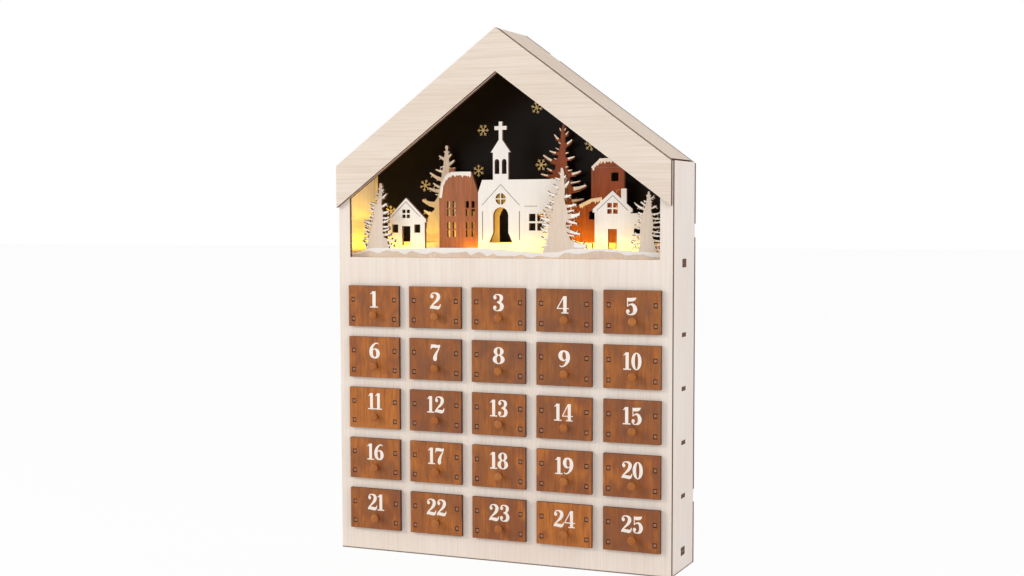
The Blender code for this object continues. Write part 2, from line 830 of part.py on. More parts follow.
def make_barn(tenons, stain, stage):
    """The stained barn and its side building, cut from one board with a strip of ground."""
    x = barn_place
    reach = inner_half - back_ground_from_wall
    window = rectangle(
        x + barn_window_place - barn_window / 2,
        x + barn_window_place + barn_window / 2,
        barn_window_foot,
        barn_window_top,
    )
    annex_window = rectangle(
        x + side_building_window_place - side_building_window / 2,
        x + side_building_window_place + side_building_window / 2,
        side_building_window_foot,
        side_building_window_top,
    )
    top = [
        (reach, back_ground_height),
        (x + barn_half, back_ground_height),
        (x + barn_half, barn_wall),
        (x + barn_top_half, barn_top),
        (x - barn_top_half, barn_top),
        (x - barn_half, barn_wall),
        (x - barn_half, side_building_high),
        (x - side_building_reach, side_building_low),
        (x - side_building_reach, back_ground_height),
        (-reach, back_ground_height),
    ]
    layer, places = tenons["barn"]
    stage_board("barn", layer, places, (-reach, reach), top, [window, annex_window], stain, stage)


def make_stage(birch, white, stain, night):
    """Everything that stands on the stage floor."""
    stage = empty("stage", (0, 0, floor_top))
    tenons = stage_tenons()
    reach = inner_half - gap
    layer, places = tenons["front_tree_screen"]
    top = front_screen_top(reach)
    stage_board("front_tree_screen", layer, places, (-reach, reach), top, [], birch, stage)
    make_white_houses(tenons, white, stage)
    make_church(tenons, white, stage)
    make_town_house(tenons, stain, stage)
    make_barn(tenons, stain, stage)
    firs = (
        ("back_fir", back_fir_place, back_fir_height, back_fir_spread, back_fir_foot, white),
        ("brown_fir", brown_fir_place, brown_fir_height, brown_fir_spread, brown_fir_foot, stain),
    )
    for name, place, height, spread, foot, finish_material in firs:
        layer, places = tenons[name]
        half = spread * fir_body
        top = fir(place, height, spread, foot)
        stage_board(name, layer, places, (place - half, place + half), top, [], finish_material, stage)
    sky = gable(sky_half, floor_top + gap, roof_drop + 2 * gap)
    board_object("sky_backdrop", sky, [], night, upright(inside_back))


def drawer_mesh():
    """A drawer as one body: wider front, open box and knob. Its origin is under the front's back face."""
    half, box_half = plate_width / 2, box_width / 2
    inner = box_half - ply
    plate, box, hollow, knob = (bmesh.new() for _ in range(4))
    add_board(plate, rectangle(-half, half, 0, plate_height), place=upright(0))
    add_board(box, rectangle(-box_half, box_half, -ply / 2, box_length), thickness=box_height)
    pocket = rectangle(-inner, inner, 0, box_length - ply)
    add_board(hollow, pocket, thickness=box_height, place=lying(ply))
    profile = [
        (knob_foot_radius, -knob_root),
        (knob_neck_radius, knob_neck_length),
        (knob_head_radius, knob_head_start),
        (knob_head_radius, knob_length - knob_dome),
        (knob_face_radius, knob_length),
    ]
    place = Matrix.Translation((knob_shift, -ply, knob_height)) @ Matrix.Rotation(pi / 2, 4, "X")
    add_turned(knob, profile, knob_sides, place)
    return shaped("drawer", plate, (("UNION", box), ("DIFFERENCE", hollow), ("UNION", knob)))


def make_drawers(stain):
    """Twenty-five drawers, numbered along the rows from the top left. Each box rests on its shelf."""
    mesh = finish_round(drawer_mesh(), stain)
    for row, floor in enumerate(row_floors[::-1]):
        for column, x in enumerate(column_places):
            number = row * columns + column + 1
            stand(f"drawer_{number:02d}", mesh, Matrix.Translation((x, front - gap, floor + gap)), None)


def cutter(name, x_range, y_range, z_range):
    """A block that only cuts: it is left out of the model."""
    bm = bmesh.new()
    add_board(bm, rectangle(*x_range, *y_range), (), z_range[1] - z_range[0], lying(z_range[0]))
    mesh = bpy.data.meshes.new(name)
    bm.to_mesh(mesh)
    bm.free()
    block = stand(name, mesh, Matrix(), None)
    block.hide_render = True
    block.display_type = "WIRE"
    return block


def cut(obj, block, operation="DIFFERENCE"):
    """Cuts a block out of an object, or joins it on, with an exact Boolean."""
    modifier = obj.modifiers.new(block.name, "BOOLEAN")
    modifier.operation = operation
    modifier.solver = "EXACT"
    modifier.object = block


def make_battery_compartment(black, metal, foil):
    """Tray in the back panel with two cells, their shared contact, a lift-off cover and a slide switch."""
    left, right = -tray_half(), tray_half()
    low, high = tray_bottom + tray_wall, tray_bottom + tray_height - tray_wall
    centre = (low + high) / 2
    tray_front = back - cover_recess - cover_thickness - 2 * gap - cell_diameter - tray_wall
    pocket_front = tray_front + tray_wall
    bay_left = left + tray_wall
    bay_right = bay_left + cell_length + 2 * contact_space
    switch_left, switch_right = bay_right + tray_wall, right - tray_wall
    switch_middle = (switch_left + switch_right) / 2

    make_tray(black, tray_front, (bay_left, bay_right), (switch_left, switch_right), (low, high))
    bay_middle = (bay_left + bay_right) / 2
    cover_half, cover_tall = (bay_right - bay_left) / 2 - gap, (high - low) / 2 - gap
    cover = rectangle(-cover_half, cover_half, -cover_tall, cover_tall)
    cover_place = Matrix.Translation((bay_middle, 0, centre)) @ upright(back - cover_recess)
    board_object("battery_cover", cover, [], black, cover_place, thickness=cover_thickness)
    make_switch_slider(black, switch_middle, centre)

    cell_y = pocket_front + gap + cell_diameter / 2
    shift = (cell_diameter + cell_clearance) / 2
    for name, height, turn in (("cell_upper", centre + shift, -1), ("cell_lower", centre - shift, 1)):
        make_cell(name, Vector((bay_middle, cell_y, height)), turn, foil)
    make_bridge_contact(metal, bay_right - gap, cell_y, centre, shift)


def make_tray(black, tray_front, bay, switch, heights):
    """The moulded tray, hollowed for the cells and for the switch, with a slot and a hole for the lead."""
    left, right = -tray_half(), tray_half()
    ears = (inside_back - tray_ear_thickness, inside_back)
    half = [(right, tray_front), (right, ears[0]), (right + tray_ear, ears[0])]
    half += [(right + tray_ear, ears[1]), (right, ears[1]), (right, back)]
    bm = bmesh.new()
    add_board(bm, half + [(-x, y) for x, y in half[::-1]], (), tray_height, lying(tray_bottom))
    tray = finish("battery_tray", bm, black)

    past = tray_wall
    pocket_front = tray_front + tray_wall
    plate_front = back - switch_plate
    cut(tray, cutter("cell_bay_cut", bay, (pocket_front, back + past), heights))
    cut(tray, cutter("switch_bay_cut", switch, (pocket_front, plate_front), heights))
    x, centre = sum(switch) / 2, sum(heights) / 2
    slot_half = switch_knob_width / 2 + gap
    slot_tall = (switch_knob_length + switch_travel) / 2 + gap
    slot = (x - slot_half, x + slot_half)
    slot_heights = (centre - slot_tall, centre + slot_tall)
    cut(tray, cutter("switch_slot_cut", slot, (plate_front - past, back + past), slot_heights))
    y = wire_drop()[1]
    hole = (y - wire_hole_radius, y + wire_hole_radius)
    hole_tall = (centre - wire_hole_radius, centre + wire_hole_radius)
    cut(tray, cutter("wire_exit_cut", (left - past, bay[0] + past), hole, hole_tall))


def make_switch_slider(black, x, centre):
    """The switch's knob on its wider foot, at the top of its slot, which is on."""
    knob, foot = switch_knob_width / 2, switch_foot_width / 2
    foot_back = back - switch_plate - gap
    reach = switch_plate + gap - switch_recess
    half = [(foot, -switch_foot_thickness), (foot, 0), (knob, 0), (knob, reach)]
    bm = bmesh.new()
    add_board(bm, half + [(-x, y) for x, y in half[::-1]], (), switch_knob_length)
    top = centre + (switch_knob_length + switch_travel) / 2
    finish("switch_slider", bm, black, Matrix.Translation((x, foot_back, top - switch_knob_length)))


def make_cell(name, middle, turn, foil):
    """One cell lying along X, its raised contact to the right where turn is 1."""
    radius, barrel = cell_diameter / 2, cell_length - cell_nub_length
    profile = [(radius, 0), (radius, barrel), (cell_nub_radius, barrel), (cell_nub_radius, cell_length)]
    bm = bmesh.new()
    add_turned(bm, profile, cell_sides, Matrix.Translation((0, 0, -cell_length / 2)))
    mesh = finish_round(mesh_of(name, bm), foil)
    stand(name, mesh, Matrix.Translation(middle) @ Matrix.Rotation(turn * pi / 2, 4, "Y"), None)


def make_bridge_contact(metal, end, y, centre, shift):
    """The strip that joins both cells at the right, with a spring for the upper one."""
    half, tall = contact_width / 2, shift + contact_width / 2
    strip = bmesh.new()
    add_board(strip, rectangle(-tall, tall, -half, half), (), contact_thickness)
    spring = bmesh.new()
    length = contact_space - 2 * gap
    profile = [(spring_radius, contact_thickness / 2), (spring_tip_radius, length)]
    add_turned(spring, profile, spring_sides, Matrix.Translation((shift, 0, 0)))
    mesh = finish_round(shaped("contact_bridge", strip, [("UNION", spring)]), metal)
    facing_left = Matrix.Rotation(-pi / 2, 4, "Y")
    stand("contact_bridge", mesh, Matrix.Translation((end, y, centre)) @ facing_left, None)


def wire_drop():
    """Where the lead comes up through the stage floor, beside the tray and behind the firs."""
    behind_firs = layer_fronts[fir_layer] + ply
    return -tray_half() - wire_from_tray, (behind_firs + sky_front) / 2


def between(layer):
    """Middle of the space behind a layer of boards."""
    return layer_fronts[layer] + (ply + board_pitch) / 2


def rounded(corners, radius):
    """A route with each corner replaced by three points of its bend."""
    route = [corners[0]]
    for before, corner, after in zip(corners, corners[1:], corners[2:]):
        reach = min(radius, (corner - before).length / 2, (after - corner).length / 2)
        start = corner + (before - corner).normalized() * reach
        end = corner + (after - corner).normalized() * reach
        route += [start, (start + 2 * corner + end) / 4, end]
    return route + [corners[-1]]


def with_lamps(route):
    """The route's points, each with its swelling: evenly spread lamps along every long straight."""
    swelling = lamp_radius / wire_radius
    angles = [pi * step / 4 for step in range(1, 4)]
    drop = [(-cos(angle), swelling * sin(angle)) for angle in angles]
    drop = [(-1, 1.0)] + drop + [(1, 1.0)]
    points = [(route[0], 1.0)]
    for start, end in zip(route, route[1:]):
        length = (end - start).length
        along = (end - start).normalized()
        count = int(length / lamp_pitch)
        for lamp in range(count):
            middle = start + (end - start) * (lamp + 0.5) / count
            points += [(middle + along * place * lamp_length / 2, swell) for place, swell in drop]
        points.append((end, 1.0))
    return points


def wire_corners():
    """The lead's turning points: out of the tray, up to the stage, behind the front and white boards."""
    drop_x, drop_y = wire_drop()
    tray_middle = tray_bottom + tray_height / 2
    low = floor_top + gap + lamp_radius
    high = floor_top + wire_loop_height
    side = inner_half - wire_from_wall
    first, second = between(screen_layer), between(white_layer)
    loop_left, loop_right = wire_loop_place - wire_loop_width / 2, wire_loop_place + wire_loop_width / 2
    corners = [
        (-tray_half() - gap, drop_y, tray_middle),
        (drop_x, drop_y, tray_middle),
        (drop_x, drop_y, low),
        (-side, drop_y, low),
        (-side, first, low),
        (side, first, low),
        (side, second, low),
        (loop_right, second, low),
        (loop_right, second, high),
        (loop_left, second, high),
        (loop_left, second, low),
        (-inner_half + wire_end_from_wall, second, low),
    ]
    return [Vector(corner) for corner in corners]


def make_lights(copper):
    """The fairy lights: a wire with lamps cast round it in clear drops, as one curve."""
    curve = bpy.data.curves.new("fairy_lights", "CURVE")
    curve.dimensions = "3D"
    curve.bevel_depth = wire_radius
    curve.bevel_resolution = 1
    curve.use_fill_caps = True
    points = with_lamps(rounded(wire_corners(), wire_bend))
    spline = curve.splines.new("POLY")
    spline.points.add(len(points) - 1)
    for point, (place, swell) in zip(spline.points, points):
        point.co = (*place, 1)
        point.radius = swell
    curve.materials.append(copper)
    lights = bpy.data.objects.new("fairy_lights", curve)
    bpy.context.collection.objects.link(lights)


def main():
    """Builds the calendar in an emptied scene."""
    for obj in list(bpy.data.objects):
        bpy.data.objects.remove(obj, do_unlink=True)
    birch = material("birch_plywood", (0.78, 0.66, 0.53), 0.6)
    white = material("white_painted_plywood", (0.86, 0.80, 0.72), 0.6)
    stain = material("brown_stained_plywood", (0.33, 0.11, 0.04), 0.5)
    night = material("gloss_black_lacquer", (0.012, 0.010, 0.010), 0.2)
    black = material("black_moulded_plastic", (0.02, 0.02, 0.02), 0.45)
    metal = material("nickel_plated_steel", (0.6, 0.58, 0.55), 0.3, 1.0)
    foil = material("cell_wrapper", (0.35, 0.36, 0.38), 0.35, 0.6)
    copper = material("copper_wire", (0.72, 0.36, 0.17), 0.3, 1.0)
    make_casing(birch)
    make_floors(birch)
    make_stage(birch, white, stain, night)
    make_battery_compartment(black, metal, foil)
    make_lights(copper)
    make_drawers(stain)


main()
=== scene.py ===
import bpy
import bmesh
import math
import random
from math import cos, pi, radians, sin
from mathutils import Matrix, Vector


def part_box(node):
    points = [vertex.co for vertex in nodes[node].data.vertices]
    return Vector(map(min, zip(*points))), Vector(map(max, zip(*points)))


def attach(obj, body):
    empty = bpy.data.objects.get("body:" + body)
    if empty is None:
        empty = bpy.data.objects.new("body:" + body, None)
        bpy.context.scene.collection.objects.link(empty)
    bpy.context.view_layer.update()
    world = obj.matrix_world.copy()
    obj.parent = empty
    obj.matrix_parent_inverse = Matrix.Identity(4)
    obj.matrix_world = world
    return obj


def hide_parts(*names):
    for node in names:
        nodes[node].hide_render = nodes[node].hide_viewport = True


mm = 0.001
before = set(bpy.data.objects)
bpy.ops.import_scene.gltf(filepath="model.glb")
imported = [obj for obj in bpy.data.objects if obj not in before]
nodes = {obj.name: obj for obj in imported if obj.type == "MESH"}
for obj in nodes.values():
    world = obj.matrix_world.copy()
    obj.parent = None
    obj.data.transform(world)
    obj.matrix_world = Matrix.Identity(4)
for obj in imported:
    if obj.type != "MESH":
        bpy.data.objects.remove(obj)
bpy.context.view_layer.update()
print("frame loaded")

# camera, floor and lamps
camera = {"place": (500.83, -1164.95, 288.73), "yaw": 23.362, "pitch": -4.186, "roll": -0.158,
          "lens": 52.905, "sensor": 36.0, "shiftX": 0.0034, "shiftY": 0.0376, "farthest": 50.0}
studio = {"paper": "#ffffff", "paperShine": 0.95, "paperGlow": 0.94, "paperSize": 12.0, "surround": 0.62,
          "aim": (0.0, 0.0, 0.22)}
lamps = {"key_lamp": ((-1.8, -1.3, 1.0), 0.5, 18.5, "#fff6ec"),  # place, size, power, colour
         "fill_lamp": ((2.0, -0.9, 0.9), 1.4, 14.0, "#f8f8ff")}


def colourOf(code):
    parts = [int(code[i:i + 2], 16) / 255 for i in (1, 3, 5)]
    return (*[c / 12.92 if c <= 0.04045 else ((c + 0.055) / 1.055) ** 2.4 for c in parts], 1.0)


def addNode(tree, kind, inputs=None, **settings):
    made = tree.nodes.new(kind)
    for key, value in settings.items():
        setattr(made, key, value)
    for socket, value in (inputs or {}).items():
        if isinstance(value, bpy.types.NodeSocket):
            tree.links.new(value, made.inputs[socket])
        else:
            made.inputs[socket].default_value = value
    return made


def emptyMaterial(name):
    made = bpy.data.materials.new(name)
    made.use_nodes = True
    made.node_tree.nodes.clear()
    return made, made.node_tree


def sightRays(tree):
    # 1 for rays that the viewer sees directly, in a reflection or through something clear
    path = addNode(tree, "ShaderNodeLightPath")
    found = path.outputs["Is Camera Ray"]
    for word in ("Is Glossy Ray", "Is Transmission Ray"):
        found = addNode(tree, "ShaderNodeMath", {0: found, 1: path.outputs[word]},
                        operation="MAXIMUM").outputs[0]
    return found


def addObject(name, data):
    made = bpy.data.objects.new(name, data)
    bpy.context.scene.collection.objects.link(made)
    return made


def meshFrom(name, bm):
    made = bpy.data.meshes.new(name)
    bm.to_mesh(made)
    bm.free()
    return made


def addLamp(name, power, colour, wide, tall=None):
    lamp = bpy.data.lights.new(name, "AREA")
    lamp.size = wide
    if tall:
        lamp.shape = "RECTANGLE"
        lamp.size_y = tall
    lamp.energy = power
    lamp.color = colourOf(colour)[:3]
    return addObject(name, lamp)


def setCamera():
    yaw, pitch, roll = (radians(camera[key]) for key in ("yaw", "pitch", "roll"))
    ahead = Vector((-sin(yaw) * cos(pitch), cos(yaw) * cos(pitch), sin(pitch)))
    right = Vector((cos(yaw), sin(yaw), 0.0))
    up = right.cross(ahead)
    right, up = cos(roll) * right + sin(roll) * up, cos(roll) * up - sin(roll) * right
    data = bpy.data.cameras.new("camera")
    data.sensor_width = camera["sensor"]
    data.lens = camera["lens"]
    data.shift_x = camera["shiftX"]
    data.shift_y = camera["shiftY"]
    data.clip_end = camera["farthest"]
    viewer = addObject("camera", data)
    turn = Matrix((right, up, -ahead)).transposed().to_4x4()
    viewer.matrix_world = Matrix.Translation(Vector(camera["place"]) * mm) @ turn
    bpy.context.scene.camera = viewer
    bpy.context.scene.view_settings.view_transform = "Standard"


def layPaper():
    # white studio paper: it takes the soft shadow and is otherwise plain white to the viewer
    paper, tree = emptyMaterial("studio_paper")
    matt = addNode(tree, "ShaderNodeBsdfDiffuse", {"Color": (*[studio["paperShine"]] * 3, 1.0)})
    white = addNode(tree, "ShaderNodeEmission", {"Color": colourOf(studio["paper"]), "Strength": 1.0})
    share = addNode(tree, "ShaderNodeMath", {0: sightRays(tree), 1: studio["paperGlow"]},
                    operation="MULTIPLY")
    both = addNode(tree, "ShaderNodeMixShader",
                   {0: share.outputs[0], 1: matt.outputs[0], 2: white.outputs[0]})
    addNode(tree, "ShaderNodeOutputMaterial", {"Surface": both.outputs[0]})
    bm = bmesh.new()
    bmesh.ops.create_grid(bm, x_segments=1, y_segments=1, size=studio["paperSize"])
    floor = addObject("studio_floor", meshFrom("studio_floor", bm))
    floor.data.materials.append(paper)


def lightStudio():
    world = bpy.data.worlds.new("studio_air")
    world.use_nodes = True
    bpy.context.scene.world = world
    tree = world.node_tree
    tree.nodes.clear()
    white = colourOf(studio["paper"])
    lit = addNode(tree, "ShaderNodeBackground", {"Color": white, "Strength": studio["surround"]})
    seen = addNode(tree, "ShaderNodeBackground", {"Color": white, "Strength": 1.0})
    both = addNode(tree, "ShaderNodeMixShader", {0: sightRays(tree), 1: lit.outputs[0], 2: seen.outputs[0]})
    addNode(tree, "ShaderNodeOutputWorld", {"Surface": both.outputs[0]})
    for name, (place, size, power, colour) in lamps.items():
        lamp = addLamp(name, power, colour, size)
        lamp.location = place
        lamp.rotation_euler = (Vector(studio["aim"]) - Vector(place)).to_track_quat("-Z", "Y").to_euler()


setCamera()
layPaper()
lightStudio()
print("studio ready")

# woods: pale, middle, streak and fleck colours, strength of the figure, width and length of a streak in
# millimetres, roughness, and for the stained fronts a warm and a dull tone
woodWords = ("pale", "mid", "streak", "fleck", "figure", "streakWidth", "streakLength", "rough", "warm",
             "dull")
woods = {
    "birch": ("#f6ede4", "#f1e6dc", "#e2cebb", "#bfa085", 0.5, 2.2, 90.0, 0.6),
    "white": ("#f8f4ef", "#f5f0ea", "#ece4da", "#d3c5b6", 0.5, 2.4, 60.0, 0.5),
    # band and roof: the front's veneer painted a little darker, as shade offsetting the stronger light on
    # them
    "band": ("#f0e5d9", "#eaddcf", "#d8c5ae", "#b39678", 0.75, 1.5, 90.0, 0.6),
    "roof": ("#f0e0d0", "#ead8c6", "#d7bfa6", "#ab8e70", 0.7, 2.0, 80.0, 0.6),
    # screen: the front's veneer painted darker, as shade for the board that stands inside the box
    "screen": ("#ecdccb", "#e6d3c0", "#d5bfa8", "#b39678", 0.6, 2.2, 45.0, 0.6),
    "pale": ("#f5ece4", "#eee2d8", "#dfd0c1", "#b8a08a", 0.6, 2.2, 45.0, 0.6),
    "barn": ("#ad6039", "#9b4f2e", "#733921", "#46241a", 1.0, 1.6, 40.0, 0.5),
    "town": ("#b6744d", "#a8633f", "#824b31", "#54301f", 0.9, 1.4, 34.0, 0.5),
    "plate": ("#a96935", "#975830", "#7e4525", "#4c2b1a", 0.8, 1.9, 26.0, 0.5, "#c67833", "#86573b"),
    "knob": ("#bf7b3d", "#b0662b", "#935222", "#5f351b", 0.8, 0.9, 9.0, 0.42),
    # neck: the knob's beech painted darker, as shade on the knob's side away from the light
    "neck": ("#84491f", "#733c19", "#5c2f15", "#5f351b", 0.8, 0.9, 9.0, 0.42)}
woodSkin = {"ior": 1.48, "shine": 0.3, "bump": 0.25, "bumpDeep": 0.12, "uneven": 0.75}
# cut edges: veneer is the pitch of the glued layers; the lowest millimetre, at the foot, is darkened
# in the burnt colour: partly its burnt bottom edge, partly painted contact shade where it meets the floor
charred = {"dark": "#452c1f", "light": "#835c43", "rough": 0.8, "veneer": 1.0, "pale": (0.15, 0.75),
           "facing": 0.6, "foot": (0.7, 1.3, 0.85)}


def woodMaterial(name, kind, face, turn):
    # the grain runs along Z unless turned; cut edges, seen from the side of the sheet's face, are charred
    wood = dict(zip(woodWords, woods[kind]))
    made, tree = emptyMaterial(name)
    coords = addNode(tree, "ShaderNodeTexCoord")
    turned = addNode(tree, "ShaderNodeMapping", {"Vector": coords.outputs["Object"], "Rotation": turn})
    fine, stretch = 1000.0 / wood["streakWidth"], wood["streakWidth"] / wood["streakLength"]
    # patterns: how many in a metre, share of that along the grain, detail, roughness, twist
    patterns = {"clouds": (22.0, 0.35, 2.0, 0.5, 0.0), "streaks": (fine, stretch, 5.0, 0.6, 0.5),
                "hairs": (fine * 6, stretch * 0.5, 3.0, 0.65, 0.0),
                "pores": (fine * 4, stretch * 1.6, 2.0, 0.5, 0.0)}
    # layers of colour: pattern, where it starts and where it is full, its share there, colour
    layers = [("clouds", 0.35, 0.65, 1.0, "mid"), ("streaks", 0.42, 0.75, wood["figure"], "streak"),
              ("hairs", 0.4, 0.75, 0.6 * wood["figure"], "streak"),
              ("pores", 0.68, 0.78, 0.6 * wood["figure"], "fleck")]
    toned = "warm" in wood
    if toned:
        patterns["patches"] = (95.0, 0.6, 2.0, 0.5, 0.0)
        layers[1:1] = [("tone", 0.0, 1.0, 1.0, "warm"), ("tone", 0.0, -1.0, 1.0, "dull")]
    found = {}
    for key, (scale, squeeze, detail, rough, twist) in patterns.items():
        along = addNode(tree, "ShaderNodeMapping",
                        {"Vector": turned.outputs[0], "Scale": (1.0, 1.0, squeeze)})
        pattern = addNode(tree, "ShaderNodeTexNoise",
                          {"Vector": along.outputs[0], "Scale": scale, "Detail": detail, "Roughness": rough,
                           "Distortion": twist})
        found[key] = pattern.outputs["Fac"]
    if toned:
        # each drawer's own tone, -1 dull and greyish to 1 warm and orange, uneven over the front
        own = addNode(tree, "ShaderNodeAttribute", attribute_name="tone").outputs["Fac"]
        most = woodSkin["uneven"]
        patch = addNode(tree, "ShaderNodeMapRange", {0: found["patches"], 1: 0.3, 2: 0.7, 3: -most, 4: most})
        found["tone"] = addNode(tree, "ShaderNodeMath", {0: own, 1: patch.outputs[0]},
                                operation="ADD").outputs[0]
    shade = colourOf(wood["pale"])
    for key, start, full, share, colour in layers:
        amount = addNode(tree, "ShaderNodeMapRange",
                         {0: found[key], 1: start, 2: full, 3: 0.0, 4: share}).outputs[0]
        mixed = addNode(tree, "ShaderNodeMix", {0: amount, 6: shade, 7: colourOf(wood[colour])},
                        data_type="RGBA")
        shade = mixed.outputs[2]
    rough = wood["rough"]
    if face:
        facing = addNode(tree, "ShaderNodeVectorMath", {0: coords.outputs["Normal"], 1: face},
                         operation="DOT_PRODUCT")
        aside = addNode(tree, "ShaderNodeMath", {0: facing.outputs["Value"]}, operation="ABSOLUTE")
        cut = addNode(tree, "ShaderNodeMath", {0: aside.outputs[0], 1: charred["facing"]},
                      operation="LESS_THAN")
        split = addNode(tree, "ShaderNodeSeparateXYZ", {0: coords.outputs["Object"]})
        # the foot: its lowest millimetre darkened in the burnt colour, partly burnt edge, partly painted
        # contact shade
        low, high, most = charred["foot"]
        foot = addNode(tree, "ShaderNodeMapRange",
                       {0: split.outputs["Z"], 1: low * mm, 2: high * mm, 3: most, 4: 0.0})
        edge = addNode(tree, "ShaderNodeMath", {0: cut.outputs[0], 1: foot.outputs[0]},
                       operation="MAXIMUM").outputs[0]
        depth = addNode(tree, "ShaderNodeVectorMath", {0: coords.outputs["Object"], 1: face},
                        operation="DOT_PRODUCT")
        turns = 2 * pi / (charred["veneer"] * mm)
        angle = addNode(tree, "ShaderNodeMath", {0: depth.outputs["Value"], 1: turns}, operation="MULTIPLY")
        wave = addNode(tree, "ShaderNodeMath", {0: angle.outputs[0]}, operation="SINE")
        least, most = charred["pale"]
        share = addNode(tree, "ShaderNodeMapRange", {0: wave.outputs[0], 1: -1.0, 2: 1.0, 3: least, 4: most})
        dark, light = colourOf(charred["dark"]), colourOf(charred["light"])
        burnt = addNode(tree, "ShaderNodeMix", {0: share.outputs[0], 6: dark, 7: light}, data_type="RGBA")
        edged = addNode(tree, "ShaderNodeMix", {0: edge, 6: shade, 7: burnt.outputs[2]}, data_type="RGBA")
        shade = edged.outputs[2]
        matt = addNode(tree, "ShaderNodeMapRange", {0: edge, 1: 0.0, 2: 1.0, 3: rough, 4: charred["rough"]})
        rough = matt.outputs[0]
    lift = addNode(tree, "ShaderNodeBump", {"Height": found["hairs"], "Strength": woodSkin["bump"],
                                            "Distance": woodSkin["bumpDeep"] * mm})
    skin = addNode(tree, "ShaderNodeBsdfPrincipled",
                   {"Base Color": shade, "Roughness": rough, "Normal": lift.outputs[0],
                    "IOR": woodSkin["ior"], "Specular IOR Level": woodSkin["shine"]})
    addNode(tree, "ShaderNodeOutputMaterial", {"Surface": skin.outputs[0]})
    return made


def mottledMaterial(name, first, second, scale, rough, metal=0.0, bump=0.1, glow=None, sheen=0.5):
    # two close tones in soft patches, scale of them in a metre, with a faint unevenness
    made, tree = emptyMaterial(name)
    coords = addNode(tree, "ShaderNodeTexCoord")
    patches = addNode(tree, "ShaderNodeTexNoise",
                      {"Vector": coords.outputs["Object"], "Scale": scale, "Detail": 3.0})
    found = patches.outputs["Fac"]
    shade = addNode(tree, "ShaderNodeMix", {0: found, 6: colourOf(first), 7: colourOf(second)},
                    data_type="RGBA")
    lift = addNode(tree, "ShaderNodeBump", {"Height": found, "Strength": bump, "Distance": 0.1 * mm})
    inputs = {"Base Color": shade.outputs[2], "Roughness": rough, "Metallic": metal,
              "Normal": lift.outputs[0], "Specular IOR Level": sheen}
    if not metal:
        inputs["IOR"] = 1.5
    if glow:
        inputs["Emission Color"] = colourOf(glow[0])
        inputs["Emission Strength"] = glow[1]
    skin = addNode(tree, "ShaderNodeBsdfPrincipled", inputs)
    addNode(tree, "ShaderNodeOutputMaterial", {"Surface": skin.outputs[0]})
    return made


roofSlope = math.atan(0.7374)  # the roof's rise over its run
rise, run = sin(roofSlope), cos(roofSlope)
facing = {"front": (0, 1, 0), "side": (1, 0, 0), "top": (0, 0, 1), "left": (-rise, 0, run),
          "right": (rise, 0, run), "round": None}
grain = {"up": (0, 0, 0), "across": (0, pi / 2, 0), "through": (pi / 2, 0, 0),
         "left": (0, pi / 2 - roofSlope, 0),
         "right": (0, pi / 2 + roofSlope, 0)}
finishes = {}
for key, name, kind, face, turn in (
        # birch veneer left bare: pale pinkish cream, faint streaks, dark laser-burnt edges
        ("birchFront", "birch_veneer_front", "birch", "front", "up"),
        # the fascia's veneer painted a little darker, as shade offsetting the stronger light on it
        ("birchBand", "birch_veneer_band_painted_shade", "band", "front", "across"),
        ("birchSide", "birch_veneer_side", "birch", "side", "up"),
        ("birchFlat", "birch_veneer_flat", "birch", "top", "across"),
        # the roof's veneer likewise painted a little darker, as shade offsetting the stronger light on it
        ("birchRoofLeft", "birch_veneer_roof_left_painted_shade", "roof", "left", "left"),
        ("birchRoofRight", "birch_veneer_roof_right_painted_shade", "roof", "right", "right"),
        # the front board with firs: the same veneer painted a little darker, as shade inside the box
        ("screen", "birch_veneer_screen_painted_shade", "screen", "front", "up"),
        # limed birch: chalky and cool, its streaks half hidden
        ("pale", "limed_birch_veneer", "pale", "front", "up"),
        # thin white paint: the veneer's figure only just shows
        ("white", "white_paint_on_birch", "white", "front", "up"),
        # red-brown water stain: strong figure and dark pores
        ("barn", "brown_stain_on_birch", "barn", "front", "up"),
        ("town", "light_brown_stain_on_birch", "town", "front", "up"),
        ("plate", "brown_stain_plate", "plate", "front", "up"),
        # stained beech off the lathe: short fine streaks along its axis; its neck painted darker as shade
        ("knob", "turned_stained_beech", "knob", "round", "through"),
        ("neck", "beech_neck_painted_shade", "neck", "round", "through")):
    finishes[key] = woodMaterial(name, kind, facing[face], grain[turn])
